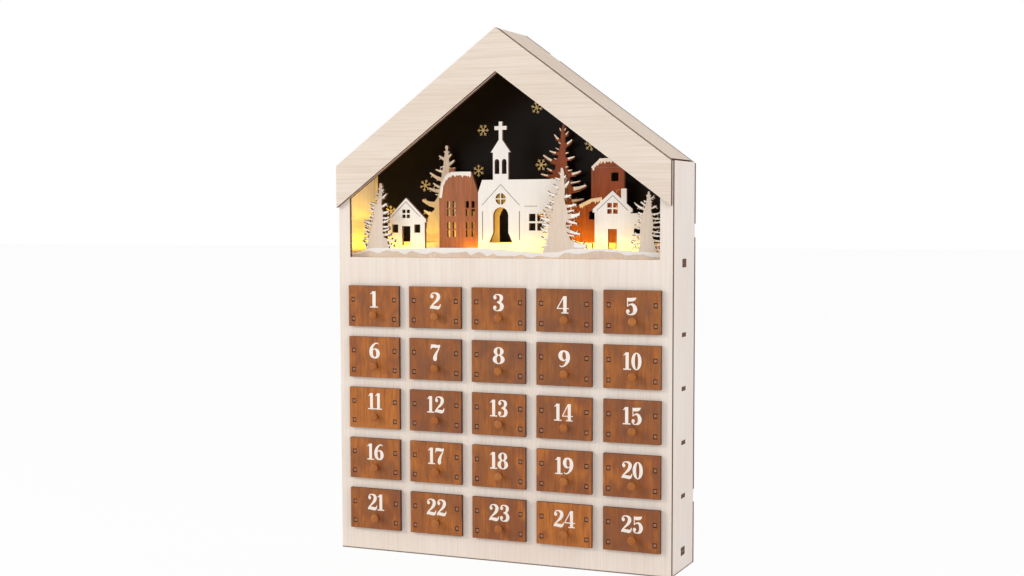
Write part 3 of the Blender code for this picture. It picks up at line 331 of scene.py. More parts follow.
for key, name, first, second, scale, rough, more in (
        # end grain: charred and matt at the cut, warm brown and open inside it
        ("tenon", "charred_end_grain", "#3f2416", "#5c3621", 900.0, 0.75, {}),
        ("tenonEnd", "stained_end_grain", "#8a5a40", "#b08064", 1400.0, 0.7, {}),
        # a line burnt by the laser: grey-brown and dry
        ("scorch", "laser_engraved_line", "#8a7464", "#6d5849", 700.0, 0.85, {}),
        # screen-printed white ink: dense, a touch creamy, slightly broken surface
        ("ink", "white_screen_print", "#fbf4ec", "#f6ece1", 1500.0, 0.55, {}),
        ("snow", "white_snow_print", "#fdfaf6", "#f4efe9", 1100.0, 0.6, {"bump": 0.4}),
        # black lacquer: near black, only a faint and blurred sheen
        ("night", "black_lacquer", "#0d0805", "#17100a", 30.0, 0.32, {"bump": 0.02, "sheen": 0.12}),
        # gold ink: dull yellow, with a faint painted glow to stay bright enough on the lacquer
        ("gold", "gold_screen_print_painted_glow", "#d6c38f", "#c2ab72", 900.0, 0.5, {"glow": ("#e8d08a", 0.12)}),
        # amber paper behind windows: cloudy; its colour and glow are painted lamplight seen through them
        ("amber", "amber_paper_painted_glow", "#d2a24a", "#b98a3a", 260.0, 0.8, {"glow": ("#f0b440", 0.3)}),
        # shrunk film on the cells: smooth, blue below and coppery above
        ("wrap", "printed_cell_wrap", "#3c6f8c", "#34637e", 300.0, 0.4, {}),
        ("band", "copper_foil_wrap", "#c98a4a", "#b97b3e", 300.0, 0.35, {}),
        # moulded plastic: black with a fine spark-eroded tooth
        ("plastic", "black_moulded_plastic", "#151515", "#1c1c1c", 2600.0, 0.45, {"bump": 0.5}),
        # metals: soft silver plating, and pinkish copper under clear enamel
        ("nickel", "nickel_plated_steel", "#c9c5bc", "#b8b3a8", 400.0, 0.28, {"metal": 1.0}),
        ("copper", "enamelled_copper_wire", "#d99a6c", "#c4835a", 500.0, 0.35, {"metal": 1.0}),
        # clear resin round a warm lamp: a small glowing bead
        ("drop", "lamp_in_clear_drop", "#fff1cf", "#ffe7b0", 900.0, 0.2, {"glow": ("#ffb84a", 3.0)})):
    finishes[key] = mottledMaterial(name, first, second, scale, rough, **more)

plainNodes = {
    "birchFront": ["front_panel", "back_panel"], "birchBand": ["roof_fascia"],
    "birchSide": ["left_side", "right_side"] + ["divider_%d" % n for n in range(1, 5)],
    "birchFlat": ["base_lower", "base_upper", "stage_floor_lower", "stage_floor_upper"]
    + ["shelf_%d" % n for n in range(1, 5)],
    "birchRoofLeft": ["roof_left"], "birchRoofRight": ["roof_right"], "night": ["sky_backdrop"],
    "white": ["white_house_left", "church", "white_house_right"], "town": ["town_house"], "barn": ["barn"],
    "plastic": ["battery_tray", "battery_cover", "switch_slider"],
    "nickel": ["cell_upper", "cell_lower", "contact_bridge"]}
for key, names in plainNodes.items():
    for name in names:
        mesh = nodes[name].data
        for i in range(len(mesh.materials)):
            mesh.materials[i] = finishes[key]
        if not mesh.materials:
            mesh.materials.append(finishes[key])
print("finishes ready")

# shared shapes, all in millimetres until they are written
alongX, alongY = Vector((1, 0, 0)), Vector((0, 1, 0))
shading = {"sharp": 35, "eased": 50, "easeSteps": 2}  # degrees from which an edge looks sharp, or is eased


def upright(y):
    return lambda u, v, d: Vector((u, y + d, v)) * mm


def sideways(x):
    return lambda u, v, d: Vector((x + d, u, v)) * mm


def level(z):
    return lambda u, v, d: Vector((u, v, z + d)) * mm


def smooth(points, steps=6):
    # an even curve through the points, whatever numbers each holds
    out = []
    for i in range(len(points) - 1):
        near = [points[min(max(i + k, 0), len(points) - 1)] for k in (-1, 0, 1, 2)]
        for t in (step / steps for step in range(steps)):
            out.append(tuple(0.5 * (2 * b + (c - a) * t + (2 * a - 5 * b + 4 * c - d) * t * t
                                    + (3 * b - a - 3 * c + d) * t ** 3) for a, b, c, d in zip(*near)))
    return out + [tuple(points[-1])]


def circle(x, z, radius, steps=20):
    return [(x + radius * cos(2 * pi * i / steps),
             z + radius * sin(2 * pi * i / steps)) for i in range(steps)]


def rectangle(left, right, low, high):
    return [(left, low), (right, low), (right, high), (left, high)]


def rounded(left, right, low, high, corner, steps=5):
    out = []
    for x, z, first in ((right, high, 0), (left, high, 1), (left, low, 2), (right, low, 3)):
        across, up = (1 if first in (0, 3) else -1), (1 if first in (0, 1) else -1)
        for i in range(steps + 1):
            turn = (first + i / steps) * pi / 2
            out.append((x + corner * (cos(turn) - across), z + corner * (sin(turn) - up)))
    return out


def ribbon(points, steps=6):
    # outline of a line whose width changes: each point is (x, z, width)
    line = smooth(points, steps)
    left, right = [], []
    for i, (x, z, wide) in enumerate(line):
        before, after = line[max(i - 1, 0)], line[min(i + 1, len(line) - 1)]
        dx, dz = after[0] - before[0], after[1] - before[1]
        size = math.hypot(dx, dz) or 1.0
        nx, nz = -dz / size * wide / 2, dx / size * wide / 2
        left.append((x + nx, z + nz))
        right.append((x - nx, z - nz))
    return left + right[::-1]


def addSheet(bm, loops, place, thick, slots=(0, 0)):
    # a board from its outline and holes; slots are the finishes of its faces and of its edges
    fronts, edges, backs = [], [], {}
    for loop in loops:
        verts = [bm.verts.new(place(u, v, 0.0)) for u, v in loop]
        fronts.append(verts)
        edges += [bm.edges.new((verts[i - 1], verts[i])) for i in range(len(verts))]
        for (u, v), vert in zip(loop, verts):
            backs[vert] = bm.verts.new(place(u, v, thick))
    filled = bmesh.ops.triangle_fill(bm, use_beauty=True, edges=edges)["geom"]
    for face in [f for f in filled if isinstance(f, bmesh.types.BMFace)]:
        face.material_index = slots[0]
        bm.faces.new([backs[v] for v in reversed(face.verts)]).material_index = slots[0]
    for verts in fronts:
        for i in range(len(verts)):
            a, b = verts[i - 1], verts[i]
            bm.faces.new((a, b, backs[b], backs[a])).material_index = slots[1]


def addLathe(bm, profile, centre, axis, across, steps, slot, neck=None):
    # profile points are (distance along axis, radius); neck is (first ring, its own slot)
    other = axis.cross(across)
    rings = []
    for along, radius in profile:
        if radius < 1e-6:
            rings.append([bm.verts.new((centre + axis * along) * mm)])
        else:
            turns = [2 * pi * i / steps for i in range(steps)]
            spots = [centre + axis * along + (across * cos(a) + other * sin(a)) * radius for a in turns]
            rings.append([bm.verts.new(spot * mm) for spot in spots])
    for order, (one, two) in enumerate(zip(rings, rings[1:])):
        if neck and order >= neck[0]:
            slot = neck[1]
        for i in range(steps):
            corners = [one[i % len(one)], one[(i + 1) % len(one)], two[(i + 1) % len(two)], two[i % len(two)]]
            corners = list(dict.fromkeys(corners))
            if len(corners) > 2:
                bm.faces.new(corners).material_index = slot


def makePiece(name, bm, keys, body, replaced=(), tone=None, ease=0.0):
    bmesh.ops.recalc_face_normals(bm, faces=bm.faces)
    mesh = meshFrom(name, bm)
    for key in keys:
        mesh.materials.append(finishes[key])
    if tone is not None:
        layer = mesh.attributes.new("tone", "FLOAT", "POINT")
        layer.data.foreach_set("value", [tone] * len(mesh.vertices))
    mesh.polygons.foreach_set("use_smooth", [True] * len(mesh.polygons))
    mesh.set_sharp_from_angle(angle=radians(shading["sharp"]))
    made = addObject(name, mesh)
    if ease:
        bevel = made.modifiers.new("eased_edges", "BEVEL")
        bevel.width = ease * mm
        bevel.segments = shading["easeSteps"]
        bevel.limit_method = "ANGLE"
        bevel.angle_limit = radians(shading["eased"])
    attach(made, body)
    if replaced:
        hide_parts(*replaced)


# the numerals: fat and thin strokes with ball ends, drawn 15 mm tall and then scaled
figures = {"drawn": 15.0, "height": 14.1, "squeeze": {1: 0.93, 2: 0.83}, "lift": 0.1, "liftStep": 0.015,
           "topSpace": 4.75, "space": 0.4, "fat": 1.1, "shift": 0.5, "ringSteps": 28, "nineWide": 11.0,
           "drops": (-0.1, 0.0, 0.35, 1.0, 0.9), "leans": {3: -0.3, 4: -1.2, 5: -1.1, 14: -0.6}}


def ring(x, z, wide, tall, thick, thin):
    # a bowl: thick at its sides, thin at top and foot
    steps, thick = figures["ringSteps"], thick * figures["fat"]
    turns = [2 * pi * i / steps for i in range(steps)]
    return [[(x + (wide + way * thick / 2) * cos(t), z + (tall + way * thin / 2) * sin(t)) for t in turns]
            for way in (1, -1)]


def stroke(*points, steps=6):
    return [ribbon([(x, z, wide * figures["fat"]) for x, z, wide in points], steps)]


# width of each digit, then its parts
digits = {
    0: (10.2, [ring(5.1, 7.5, 3.4, 7.1, 3.2, 0.8)]),
    1: (7.8, [[rectangle(2.3, 5.6, 0.4, 14.9)], [rectangle(0.0, 7.8, 0.0, 1.05)],
              stroke((0.2, 12.5, 0.5), (1.3, 12.9, 0.8), (2.9, 14.3, 1.3), (3.5, 14.9, 0.3))]),
    2: (11.2, [[circle(2.5, 11.3, 1.6)],
               stroke((1.3, 11.6, 1.0), (2.4, 13.8, 0.9), (5.2, 14.55, 1.0), (8.3, 13.2, 2.6),
                      (8.9, 10.9, 3.2), (7.5, 8.0, 2.5), (4.5, 5.2, 1.5), (1.9, 3.0, 0.9), (0.9, 1.2, 0.7)),
               stroke((0.5, 0.7, 1.0), (2.4, 1.9, 2.6), (5.2, 1.6, 2.6), (8.4, 1.35, 2.7), (10.1, 2.4, 1.5),
                      (10.9, 4.6, 0.5))]),
    3: (11.0, [[circle(2.4, 11.9, 1.6)], [circle(2.3, 3.2, 1.65)],
               stroke((1.3, 12.3, 1.0), (2.6, 14.1, 0.9), (5.3, 14.6, 0.9), (8.1, 13.3, 2.5),
                      (8.6, 11.2, 3.0), (7.4, 8.8, 1.9), (4.4, 7.8, 0.7)),
               stroke((4.4, 7.8, 0.7), (7.7, 6.9, 2.2), (9.1, 4.3, 3.4), (8.0, 1.5, 2.5), (5.0, 0.45, 0.9),
                      (2.4, 0.9, 0.9), (1.1, 3.0, 1.1))]),
    4: (11.6, [[rectangle(6.1, 9.3, 0.4, 15.0)], [rectangle(4.3, 11.0, 0.0, 0.95)],
               [[(0.2, 3.9), (11.3, 3.9), (11.3, 4.75), (1.25, 4.75), (7.4, 15.0), (6.3, 15.0),
                 (0.2, 4.75)]]]),
    5: (10.9, [[circle(2.4, 3.2, 1.65)],
               stroke((1.9, 13.2, 2.4), (5.0, 13.0, 2.7), (8.2, 13.6, 2.3), (9.8, 14.9, 0.4)),
               [rectangle(1.7, 2.5, 7.2, 14.6)],
               stroke((2.0, 7.4, 0.7), (4.4, 9.0, 1.0), (7.4, 8.4, 2.3), (9.0, 5.0, 3.4), (7.9, 1.7, 2.5),
                      (5.0, 0.45, 0.9), (2.4, 0.9, 0.9), (1.2, 3.0, 1.1))]),
    6: (figures["nineWide"], [
        stroke((10.1, 13.3, 0.5), (7.9, 14.3, 0.9), (5.0, 13.0, 1.5), (2.6, 9.8, 2.8), (2.0, 6.2, 3.4),
               (2.8, 2.6, 2.8), (5.6, 0.45, 0.9), steps=8),
        stroke((3.4, 7.6, 0.7), (5.6, 8.9, 0.9), (8.2, 7.6, 2.6), (9.2, 4.7, 3.4), (8.2, 1.9, 2.5),
               (5.6, 0.45, 0.9), steps=8)]),
    7: (10.0, [stroke((0.5, 10.7, 0.6), (0.7, 12.6, 0.9), (1.3, 14.3, 1.2)),
               stroke((0.6, 13.3, 2.8), (4.0, 13.6, 2.6), (7.4, 13.2, 2.4), (9.6, 14.2, 1.6)),
               stroke((9.6, 14.5, 0.7), (8.2, 11.0, 1.1), (6.2, 7.6, 1.9), (4.8, 4.2, 3.2), (4.6, 1.8, 3.7)),
               [circle(4.6, 1.85, 1.84)]]),
    8: (11.5, [ring(5.75, 11.2, 3.2, 3.4, 3.0, 0.75), ring(5.75, 4.1, 3.9, 3.75, 3.5, 0.75)])}
wide, tall = figures["nineWide"], figures["drawn"]
digits[9] = (wide, [[[(wide - x, tall - z) for x, z in loop] for loop in part] for part in digits[6][1]])


def addNumber(bm, number, centre, top, face):
    shapes = [digits[int(c)] for c in str(number)]
    total = sum(width for width, parts in shapes) + figures["space"] * (len(shapes) - 1)
    squeeze, tall = figures["squeeze"][len(shapes)], figures["height"] / figures["drawn"]
    left = centre + figures["shift"] - total * squeeze / 2
    low = top - figures["height"]
    for width, parts in shapes:
        for order, loops in enumerate(parts):
            # each stroke a hair taller than the last, so no two faces share a plane
            lift = figures["lift"] + figures["liftStep"] * order
            moved = [[(left + x * squeeze, low + z * tall) for x, z in loop] for loop in loops]
            addSheet(bm, moved, upright(face - lift), lift)
        left += (width + figures["space"]) * squeeze


# drawers: plate with four tenons through it, turned knob, box of thin boards
drawer = {"plateWide": 48.4, "plateTall": 35.1, "plateFront": -29.65, "ply": 3.0, "boxWide": 42.4,
          "boxTall": 28.8,
          "boxBack": 28.35, "tenonTall": 3.1, "tenonHeights": (4.95, 21.55), "kerf": 0.4, "sunk": 0.35,
          "inset": 0.35,
          "slotTall": 6.0, "slotHeights": (5.0, 18.0), "backInset": 3.0, "backLower": 1.5, "slack": 0.15,
          "endInset": 0.1, "bottomLift": 0.02, "knobLong": 6.5, "knobHeight": 10.1, "knobShift": 1.7,
          "knobSides": 28,
          "neckRing": 6, "shift": 1.0, "pitchX": 58.2, "pitchZ": 43.9, "lowest": 19.2, "ease": 0.18}
knobProfile = [(0.0, 0.0), (0.0, 2.0), (0.35, 2.25), (0.7, 3.15), (1.3, 3.48), (2.1, 3.5), (2.8, 3.2),
               (3.4, 2.45), (4.1, 1.98), (5.1, 1.85), (6.0, 1.95), (6.5, 2.3)]
# what each part of a drawer is finished with
drawerParts = {"plate": "plate", "plateEdge": "tenon", "side": "birchSide", "edge": "tenon",
               "back": "birchFront",
               "bottom": "birchFlat", "knob": "knob", "tenonEnd": "tenonEnd", "neck": "neck"}
# tone of each front in reading order
tones = [0.1, 0.15, -0.1, -0.55, -0.1,
         0.5, -0.2, -0.5, -0.4, 0.15, 1.3, -0.4, -0.1, -0.05, -0.35,
         0.2, 0.25, 0.1, 0.25, 0.05, -0.15, 0.15, 0.1, 1.1, -0.2]


def makeDrawer(number):
    d, part = drawer, {key: i for i, key in enumerate(drawerParts)}
    row, column = divmod(number - 1, 5)
    middle = d["shift"] + (column - 2) * d["pitchX"]
    low = d["lowest"] + (4 - row) * d["pitchZ"]
    face, ply, slack, back = d["plateFront"], d["ply"], d["slack"], d["boxBack"]
    half, high, wide = d["boxWide"] / 2, low + d["boxTall"], d["plateWide"] / 2
    inside, inner = half - ply, back - ply - d["backInset"]
    heights = [low + z for z in d["tenonHeights"]]
    slots = [low + z for z in d["slotHeights"]]
    sides = [(side, middle + side * (half - ply / 2)) for side in (-1, 1)]
    bm = bmesh.new()
    plate = rectangle(middle - wide, middle + wide, low, low + d["plateTall"])
    holes = [rectangle(x - ply / 2 - slack, x + ply / 2 + slack, z - d["kerf"],
                       z + d["tenonTall"] + d["kerf"])
             for side, x in sides for z in heights]
    addSheet(bm, [plate] + holes, upright(face), ply, (part["plate"], part["plateEdge"]))
    for side, x in sides:
        # side board: front tenons reach through the plate, and the back board's tenons show in it
        outer = middle + side * half
        for z in heights:
            # a charred ring, then the paler end of the tenon
            for inset, sunk, slot in ((0.0, d["sunk"], part["edge"]),
                                      (d["inset"], d["sunk"] / 2, part["tenonEnd"])):
                end = rectangle(x - ply / 2 + inset, x + ply / 2 - inset, z + inset,
                                z + d["tenonTall"] - inset)
                addSheet(bm, [end], upright(face + sunk), ply, (slot, slot))
        profile = [(face + ply, low), (face + ply, high), (back, high), (back, low)]
        openings = [rectangle(inner, inner + ply, z, z + d["slotTall"]) for z in slots]
        addSheet(bm, [profile] + openings, sideways(min(outer, outer - side * ply)), ply,
                 (part["side"], part["edge"]))
        ends = sorted((outer - side * d["endInset"], outer - side * (ply - 2 * d["endInset"])))
        for z in slots:
            addSheet(bm, [rectangle(*ends, z + slack, z + d["slotTall"] - slack)], upright(inner + slack),
                     ply - 2 * slack, (part["edge"], part["edge"]))
    lift = low + d["bottomLift"]
    addSheet(bm, [rectangle(middle - inside, middle + inside, lift, high - d["backLower"])], upright(inner),
             ply, (part["back"], part["plateEdge"]))
    addSheet(bm, [rectangle(middle - inside, middle + inside, face + ply, inner)], level(lift), ply,
             (part["bottom"], part["edge"]))
    # the knob, its neck in the darker finish: painted shade on its side away from the light
    tip = Vector((middle + d["knobShift"], face - d["knobLong"], low + d["knobHeight"]))
    addLathe(bm, knobProfile, tip, alongY, alongX, d["knobSides"], part["knob"],
             (d["neckRing"], part["neck"]))
    name = "drawer_%02d" % number
    makePiece("drawer_box_%02d" % number, bm, drawerParts.values(), name, (name,),
              tones[number - 1], d["ease"])
    bm = bmesh.new()
    top = low + d["plateTall"] - figures["topSpace"] - figures["drops"][column]
    addNumber(bm, number, middle + figures["leans"].get(number, 0.0), top, face)
    makePiece("numeral_%02d" % number, bm, ["ink"], name)


for number in range(1, 26):
    makeDrawer(number)
print("drawers ready")

# cut-out boards of the winter scene that stand finer than their plain bodies: front faces, floor and walls
scene = {"floor": 254.2, "inner": 146.7, "screen": -17.35, "white": -8.35, "town": 0.65, "barn": 9.65,
         "firs": 18.65, "ply": 3.0, "print": 0.12}
# printed snow: how thick, how far it steps up, and where on a branch it starts and its share of the width
snow = {"thick": 0.3, "over": 0.14, "steps": (0.3, 0.15), "front": (0.12, 0.8), "back": (0.28, 0.62)}
# teeth along a branch: pitch, first and stray place, reach, shares of it outwards and upwards, widths
tooth = {"pitch": 2.4, "first": 0.6, "stray": 0.5, "reach": 1.1, "more": 0.9, "ofWidth": 0.2, "out": 0.8,
         "up": 0.55, "upOfWidth": 0.25, "root": 0.9, "tip": 0.5, "lift": 0.01}
branchLift = 0.02
# a branch sags a little, then rises to a blunt tip: share of its length, lift as a share of that length, and
# share of its width
branchLine = [(0.0, 0.0, 0.96), (0.35, -0.05, 0.8), (0.65, -0.04, 0.6), (0.88, 0.0, 0.46), (0.97, 0.01, 0.36),
              (1.0, 0.012, 0.12)]
# each fir: (left, right, height) of its body from the tip down, then its branches with the places of their
# root and tip and the width at the root
firs = {
    "back_fir": {
        "body": [(-69.2, -67.8, 350.1), (-70, -66.8, 348.5), (-69.1, -67.4, 346.6), (-70, -66.8, 344.1),
            (-71.1, -66.2, 339), (-71.5, -66.2, 333), (-73, -64.8, 327.5), (-74.1, -62, 318),
            (-77.2, -60, 306), (-81.1, -57.9, 300.6), (-80.4, -56.5, 294.8), (-85.8, -53.7, 290.5),
            (-88, -50.9, 284), (-89, -46.8, 254.4)],
        "branches": [(-68.3, 343.7, -71.1, 345.1, 2.1), (-69, 337.7, -75.8, 341.3, 3.2),
            (-69.8, 332.9, -74.8, 331.4, 1.6), (-69.8, 327.5, -79.1, 329.4, 2.7),
            (-72.7, 320.5, -84.8, 326.7, 3.7), (-74.9, 314.1, -81.7, 317.7, 2.4),
            (-75.6, 310.9, -85.6, 313.2, 3.6), (-74.9, 307.7, -79.6, 307.9, 1.6),
            (-78.6, 298.7, -92.2, 303, 5.4), (-80.1, 289.7, -90.8, 293.8, 4.3),
            (-86, 284, -93.5, 287.5, 3.4), (-87, 277, -93.6, 279, 3), (-88, 268.5, -94, 270, 3),
            (-67.9, 344, -65.8, 344.6, 1.7), (-67.6, 339.6, -64, 342.7, 2.4),
            (-67.6, 333.2, -61.1, 337.2, 3.1), (-66.9, 330.3, -60.2, 330.7, 1.7),
            (-62.5, 318, -55, 323, 3.6), (-60, 306, -50, 310, 4), (-55, 292, -45.5, 295, 4)]},
    "brown_fir": {
        "body": [(40.1, 41.5, 367.5), (38.8, 41.1, 362.3), (37.7, 41.3, 356.1), (37.5, 41.9, 350),
            (36.3, 41.9, 343.8), (35.1, 42.1, 337.7), (33.8, 43.1, 334), (32.5, 43.5, 328.4),
            (29.8, 45.1, 322.8), (28.4, 45.8, 319.1), (27.8, 47.8, 312.9), (27.8, 46.5, 306.7),
            (27.1, 47.8, 300.5), (26.4, 49.1, 291.2), (25, 51, 254.4)],
        "branches": [(38.5, 359.2, 36.8, 362.4, 2), (37.5, 351.3, 31.8, 356.9, 3.3),
            (38.8, 348.8, 35.5, 350.7, 1.7), (37.5, 344.2, 33.1, 345.8, 1.6),
            (36.5, 341.1, 27.5, 343.3, 3.2), (33.8, 333.4, 21.7, 339.8, 4), (35.1, 336.2, 31.5, 337.2, 1.7),
            (31.8, 326, 25.1, 328.9, 2.8), (29.8, 322.6, 19.7, 324, 2.9), (33.8, 320.1, 25.1, 318.7, 4),
            (28.5, 310, 18, 313, 3.6), (28, 300, 16, 303, 3.8), (27, 288, 17, 290, 3.8),
            (40.5, 359.5, 42.5, 362.2, 1.9), (41.1, 355.5, 44.8, 359.4, 2.4),
            (41.1, 347.5, 48.1, 352.2, 3.7), (41.1, 341, 44.8, 341.9, 2), (41.1, 336.1, 50.1, 338.1, 3.5),
            (41.1, 329.3, 44.5, 330.2, 1.9), (42.5, 326.5, 48.1, 327.3, 2.3), (43.1, 323.1, 56, 325.7, 4.3),
            (41.8, 316.5, 55.4, 317.7, 2.7), (43.1, 310.3, 60.7, 313.6, 6.4),
            (41.8, 301.5, 58.4, 302.6, 4.4), (41.8, 295.9, 54.4, 296.1, 4), (46, 287.2, 56.7, 289.3, 4.6),
            (46, 275, 58.7, 277, 4.6)]},
    "left_fir": {
        "body": [(-115, -113.6, 317.5), (-115.4, -112.9, 316.1), (-115.8, -112.7, 313.6),
            (-115.9, -112.5, 309.9), (-116.8, -113.1, 304.1), (-117.7, -113.6, 300.3), (-120, -113.6, 297),
            (-121, -112.2, 292.9), (-120.9, -112.5, 286.6), (-123, -112.6, 282.5), (-124, -112.6, 276.2),
            (-125.9, -112, 272), (-126.7, -108.2, 267.9), (-128.4, -106.4, 261.6), (-128.8, -106, 255.5)],
        "branches": [(-114.6, 312.4, -116.5, 312.6, 1.6), (-115.8, 307.8, -118.7, 309.3, 1.9),
            (-116.4, 304.1, -120.1, 303.7, 1.6), (-117.8, 298.7, -124.9, 301.2, 2.2),
            (-118.3, 296.2, -124.7, 297.5, 1.6), (-118.8, 292.9, -125.4, 295.4, 1.7),
            (-119.8, 289.1, -125.3, 290, 1.9), (-120.3, 286.2, -125.5, 287, 1.7),
            (-121.3, 282.9, -130.8, 285.6, 2.2), (-121.8, 280, -129.8, 282.5, 1.7),
            (-122.3, 276.6, -130.8, 278.7, 2.1), (-123.3, 273.7, -130.6, 275.4, 1.7),
            (-123.8, 269.9, -130.9, 270.3, 2.1), (-124.3, 266.2, -131.5, 266.6, 1.9),
            (-124.8, 262.8, -130.1, 262.8, 1.7), (-114.1, 314, -112.2, 314.6, 1.4),
            (-113.9, 309.9, -111.3, 312.1, 1.8), (-113.5, 304.5, -108.8, 308, 2.2),
            (-113.6, 297.4, -108.2, 299.7, 2.4), (-113.2, 291.8, -106.6, 293.2, 2.8),
            (-112.7, 287.7, -106.2, 287.8, 2.1), (-113.3, 283.9, -106.9, 285.4, 2.2),
            (-113.3, 280.2, -106.7, 280.4, 2.1), (-113.3, 276.9, -106.3, 277.9, 2.1),
            (-112.4, 273.1, -104.4, 274.6, 2.4), (-112, 269.6, -100.4, 268.5, 2.8),
            (-110, 264.6, -101.6, 264.4, 2.1)]},
    "big_fir": {
        "body": [(51.9, 53.4, 328), (51.8, 54.1, 326.5), (51.5, 54.7, 323.8), (51.5, 54.9, 320.7),
            (51.3, 54.9, 317), (50.7, 55.5, 312.2), (49.3, 55.3, 308), (47, 54.9, 302.7),
            (45.3, 56.1, 297.4), (44.8, 58, 292.1), (44.1, 56.9, 286.8), (42.7, 56.1, 281.5),
            (40.9, 56.9, 276.2), (40.4, 59.8, 270.9), (37.5, 63, 264.6), (36, 66, 260.3), (36, 66, 255.5)],
        "branches": [(53, 322, 50.7, 323.6, 1.7), (53.2, 318.5, 46.8, 319.9, 1.9),
            (51.8, 311.7, 45.5, 313.4, 2.5), (50.1, 304.8, 39.8, 308.4, 2.6),
            (48.4, 299.6, 41.8, 301.7, 2.3), (47.3, 295.3, 37.8, 298, 2.9), (47.2, 290.6, 35.8, 292.2, 2.9),
            (46.1, 285.3, 34, 287.4, 3.2), (45, 281, 35.2, 282.3, 2.6), (44.4, 276.2, 34.3, 278.3, 3.2),
            (43.2, 271.4, 35.2, 270.1, 2.5), (42.7, 266.1, 35.3, 263.9, 2.5), (53.8, 323, 54.7, 324.3, 1.4),
            (53.8, 319.6, 56.4, 321.9, 2), (54.1, 312.2, 59.2, 316.9, 3), (53.8, 304.6, 60.6, 305.6, 3),
            (54.7, 297, 65.4, 298.1, 2.8), (56.4, 292.6, 63.7, 293.7, 1.9), (56.9, 288.5, 68.3, 290.2, 4.8),
            (55.8, 286, 66, 282.6, 3), (56.4, 281, 61.5, 281.5, 1.7), (55.8, 278.4, 68.8, 273.9, 3.3),
            (56.9, 274.1, 63.7, 272.6, 1.9), (58, 267, 74, 263.8, 7)]},
    "right_fir": {
        "body": [(126.5, 127.6, 308.3), (126, 127.8, 306.8), (125.7, 128.3, 304.8), (125.1, 129, 301),
            (124.2, 129.4, 297.1), (123.1, 128.9, 293.3), (121.5, 129.9, 289.5), (120.3, 130.8, 281.7),
            (119.8, 129.6, 274), (119.8, 132, 266.3), (117.9, 133.7, 260.5), (117.9, 133.7, 255.5)],
        "branches": [(126.4, 303.7, 124.9, 305.4, 1.3), (125.8, 299.8, 122.8, 301, 1.4),
            (125.8, 296.8, 120.2, 299.7, 1.7), (124.6, 293.7, 115.7, 298.2, 2.3),
            (123, 289.8, 118.2, 291.6, 2), (121.8, 286, 117.4, 287.9, 1.8),
            (121.4, 282.5, 114.9, 282.9, 1.8), (121, 279, 114.5, 279.8, 1.6), (121.1, 274, 113.3, 274.6, 2),
            (120.7, 270.5, 112.1, 270.1, 2), (120.3, 267.1, 111.3, 266.6, 1.8),
            (120.3, 263.6, 112.5, 263.5, 1.6), (127.4, 303.7, 128.6, 305.6, 1.2),
            (127.8, 301.8, 131.7, 305, 1.5), (128.3, 299.8, 129.9, 300.2, 1),
            (128.7, 294.8, 133.7, 296.7, 1.7), (128.7, 290.2, 136.5, 291, 1.8),
            (129.5, 287.1, 138.6, 286.4, 1.6), (129.9, 283.3, 139, 284.8, 1.6),
            (130, 279.8, 138.6, 280.6, 1.6), (129.2, 276.7, 138.8, 275.6, 1.6),
            (129.2, 273.7, 139.5, 272.9, 1.8), (130, 269.8, 139.6, 268.7, 1.8),
            (131.6, 265.6, 140.1, 266, 1.8), (132.5, 262.1, 140.1, 262.1, 1.6)]}}


def bent(branch, start=0.0, aside=0.0, share=1.0):
    # a branch's line with its widths, or the line of the snow on it
    rootX, rootZ, tipX, tipZ, wide = branch
    long = math.hypot(tipX - rootX, tipZ - rootZ)
    ux, uz = (tipX - rootX) / long, (tipZ - rootZ) / long
    nx, nz = (uz, -ux) if ux < 0 else (-uz, ux)
    out = []
    for along, lift, size in branchLine:
        if along >= start:
            up = lift * long + aside * wide * size
            x, z = rootX + ux * along * long + nx * up, rootZ + uz * along * long + nz * up
            out.append((x, z, max(wide * size * share, branchLine[-1][2])))
    return out


def addFir(bm, printed, fir, face, pick, teeth, coated, where):
    # body, then branches and their small teeth, each a hair proud of the last so that no faces share a plane
    left = [(a, z) for a, b, z in fir["body"]]
    right = [(b, z) for a, b, z in fir["body"]]
    addSheet(bm, [left + right[::-1]], upright(face), scene["ply"])
    start, share = snow[where]
    for i, branch in enumerate(fir["branches"]):
        rootX, rootZ, tipX, tipZ, wide = branch
        front = face - branchLift * (1 + i % 4)
        addSheet(bm, [ribbon(bent(branch), 2)], upright(front), scene["ply"])
        count = int(teeth * math.hypot(tipX - rootX, tipZ - rootZ) / tooth["pitch"])
        out = tooth["out"] if tipX > rootX else -tooth["out"]
        for j in range(count):
            along = (j + tooth["first"] + tooth["stray"] * pick.random()) / (count + 0.5)
            x, z = rootX + (tipX - rootX) * along, rootZ + (tipZ - rootZ) * along
            rise = 1 if (i + j) % 3 == 0 else -1
            reach = tooth["reach"] + tooth["more"] * pick.random() + wide * tooth["ofWidth"]
            end = (x + out * reach, z + rise * (reach * tooth["up"] + wide * tooth["upOfWidth"]),
                   tooth["tip"])
            addSheet(bm, [ribbon([(x, z, tooth["root"]), end], 1)], upright(front - tooth["lift"]),
                     scene["ply"])
        if pick.random() < coated:
            cap = bent(branch, start, 0.5 * (1 - share), share)
            first, more = snow["steps"]
            over = scene["print"] + snow["over"] * (first + more * (i % 4))
            addSheet(printed, [ribbon(cap, 2)], upright(face - over), snow["thick"])


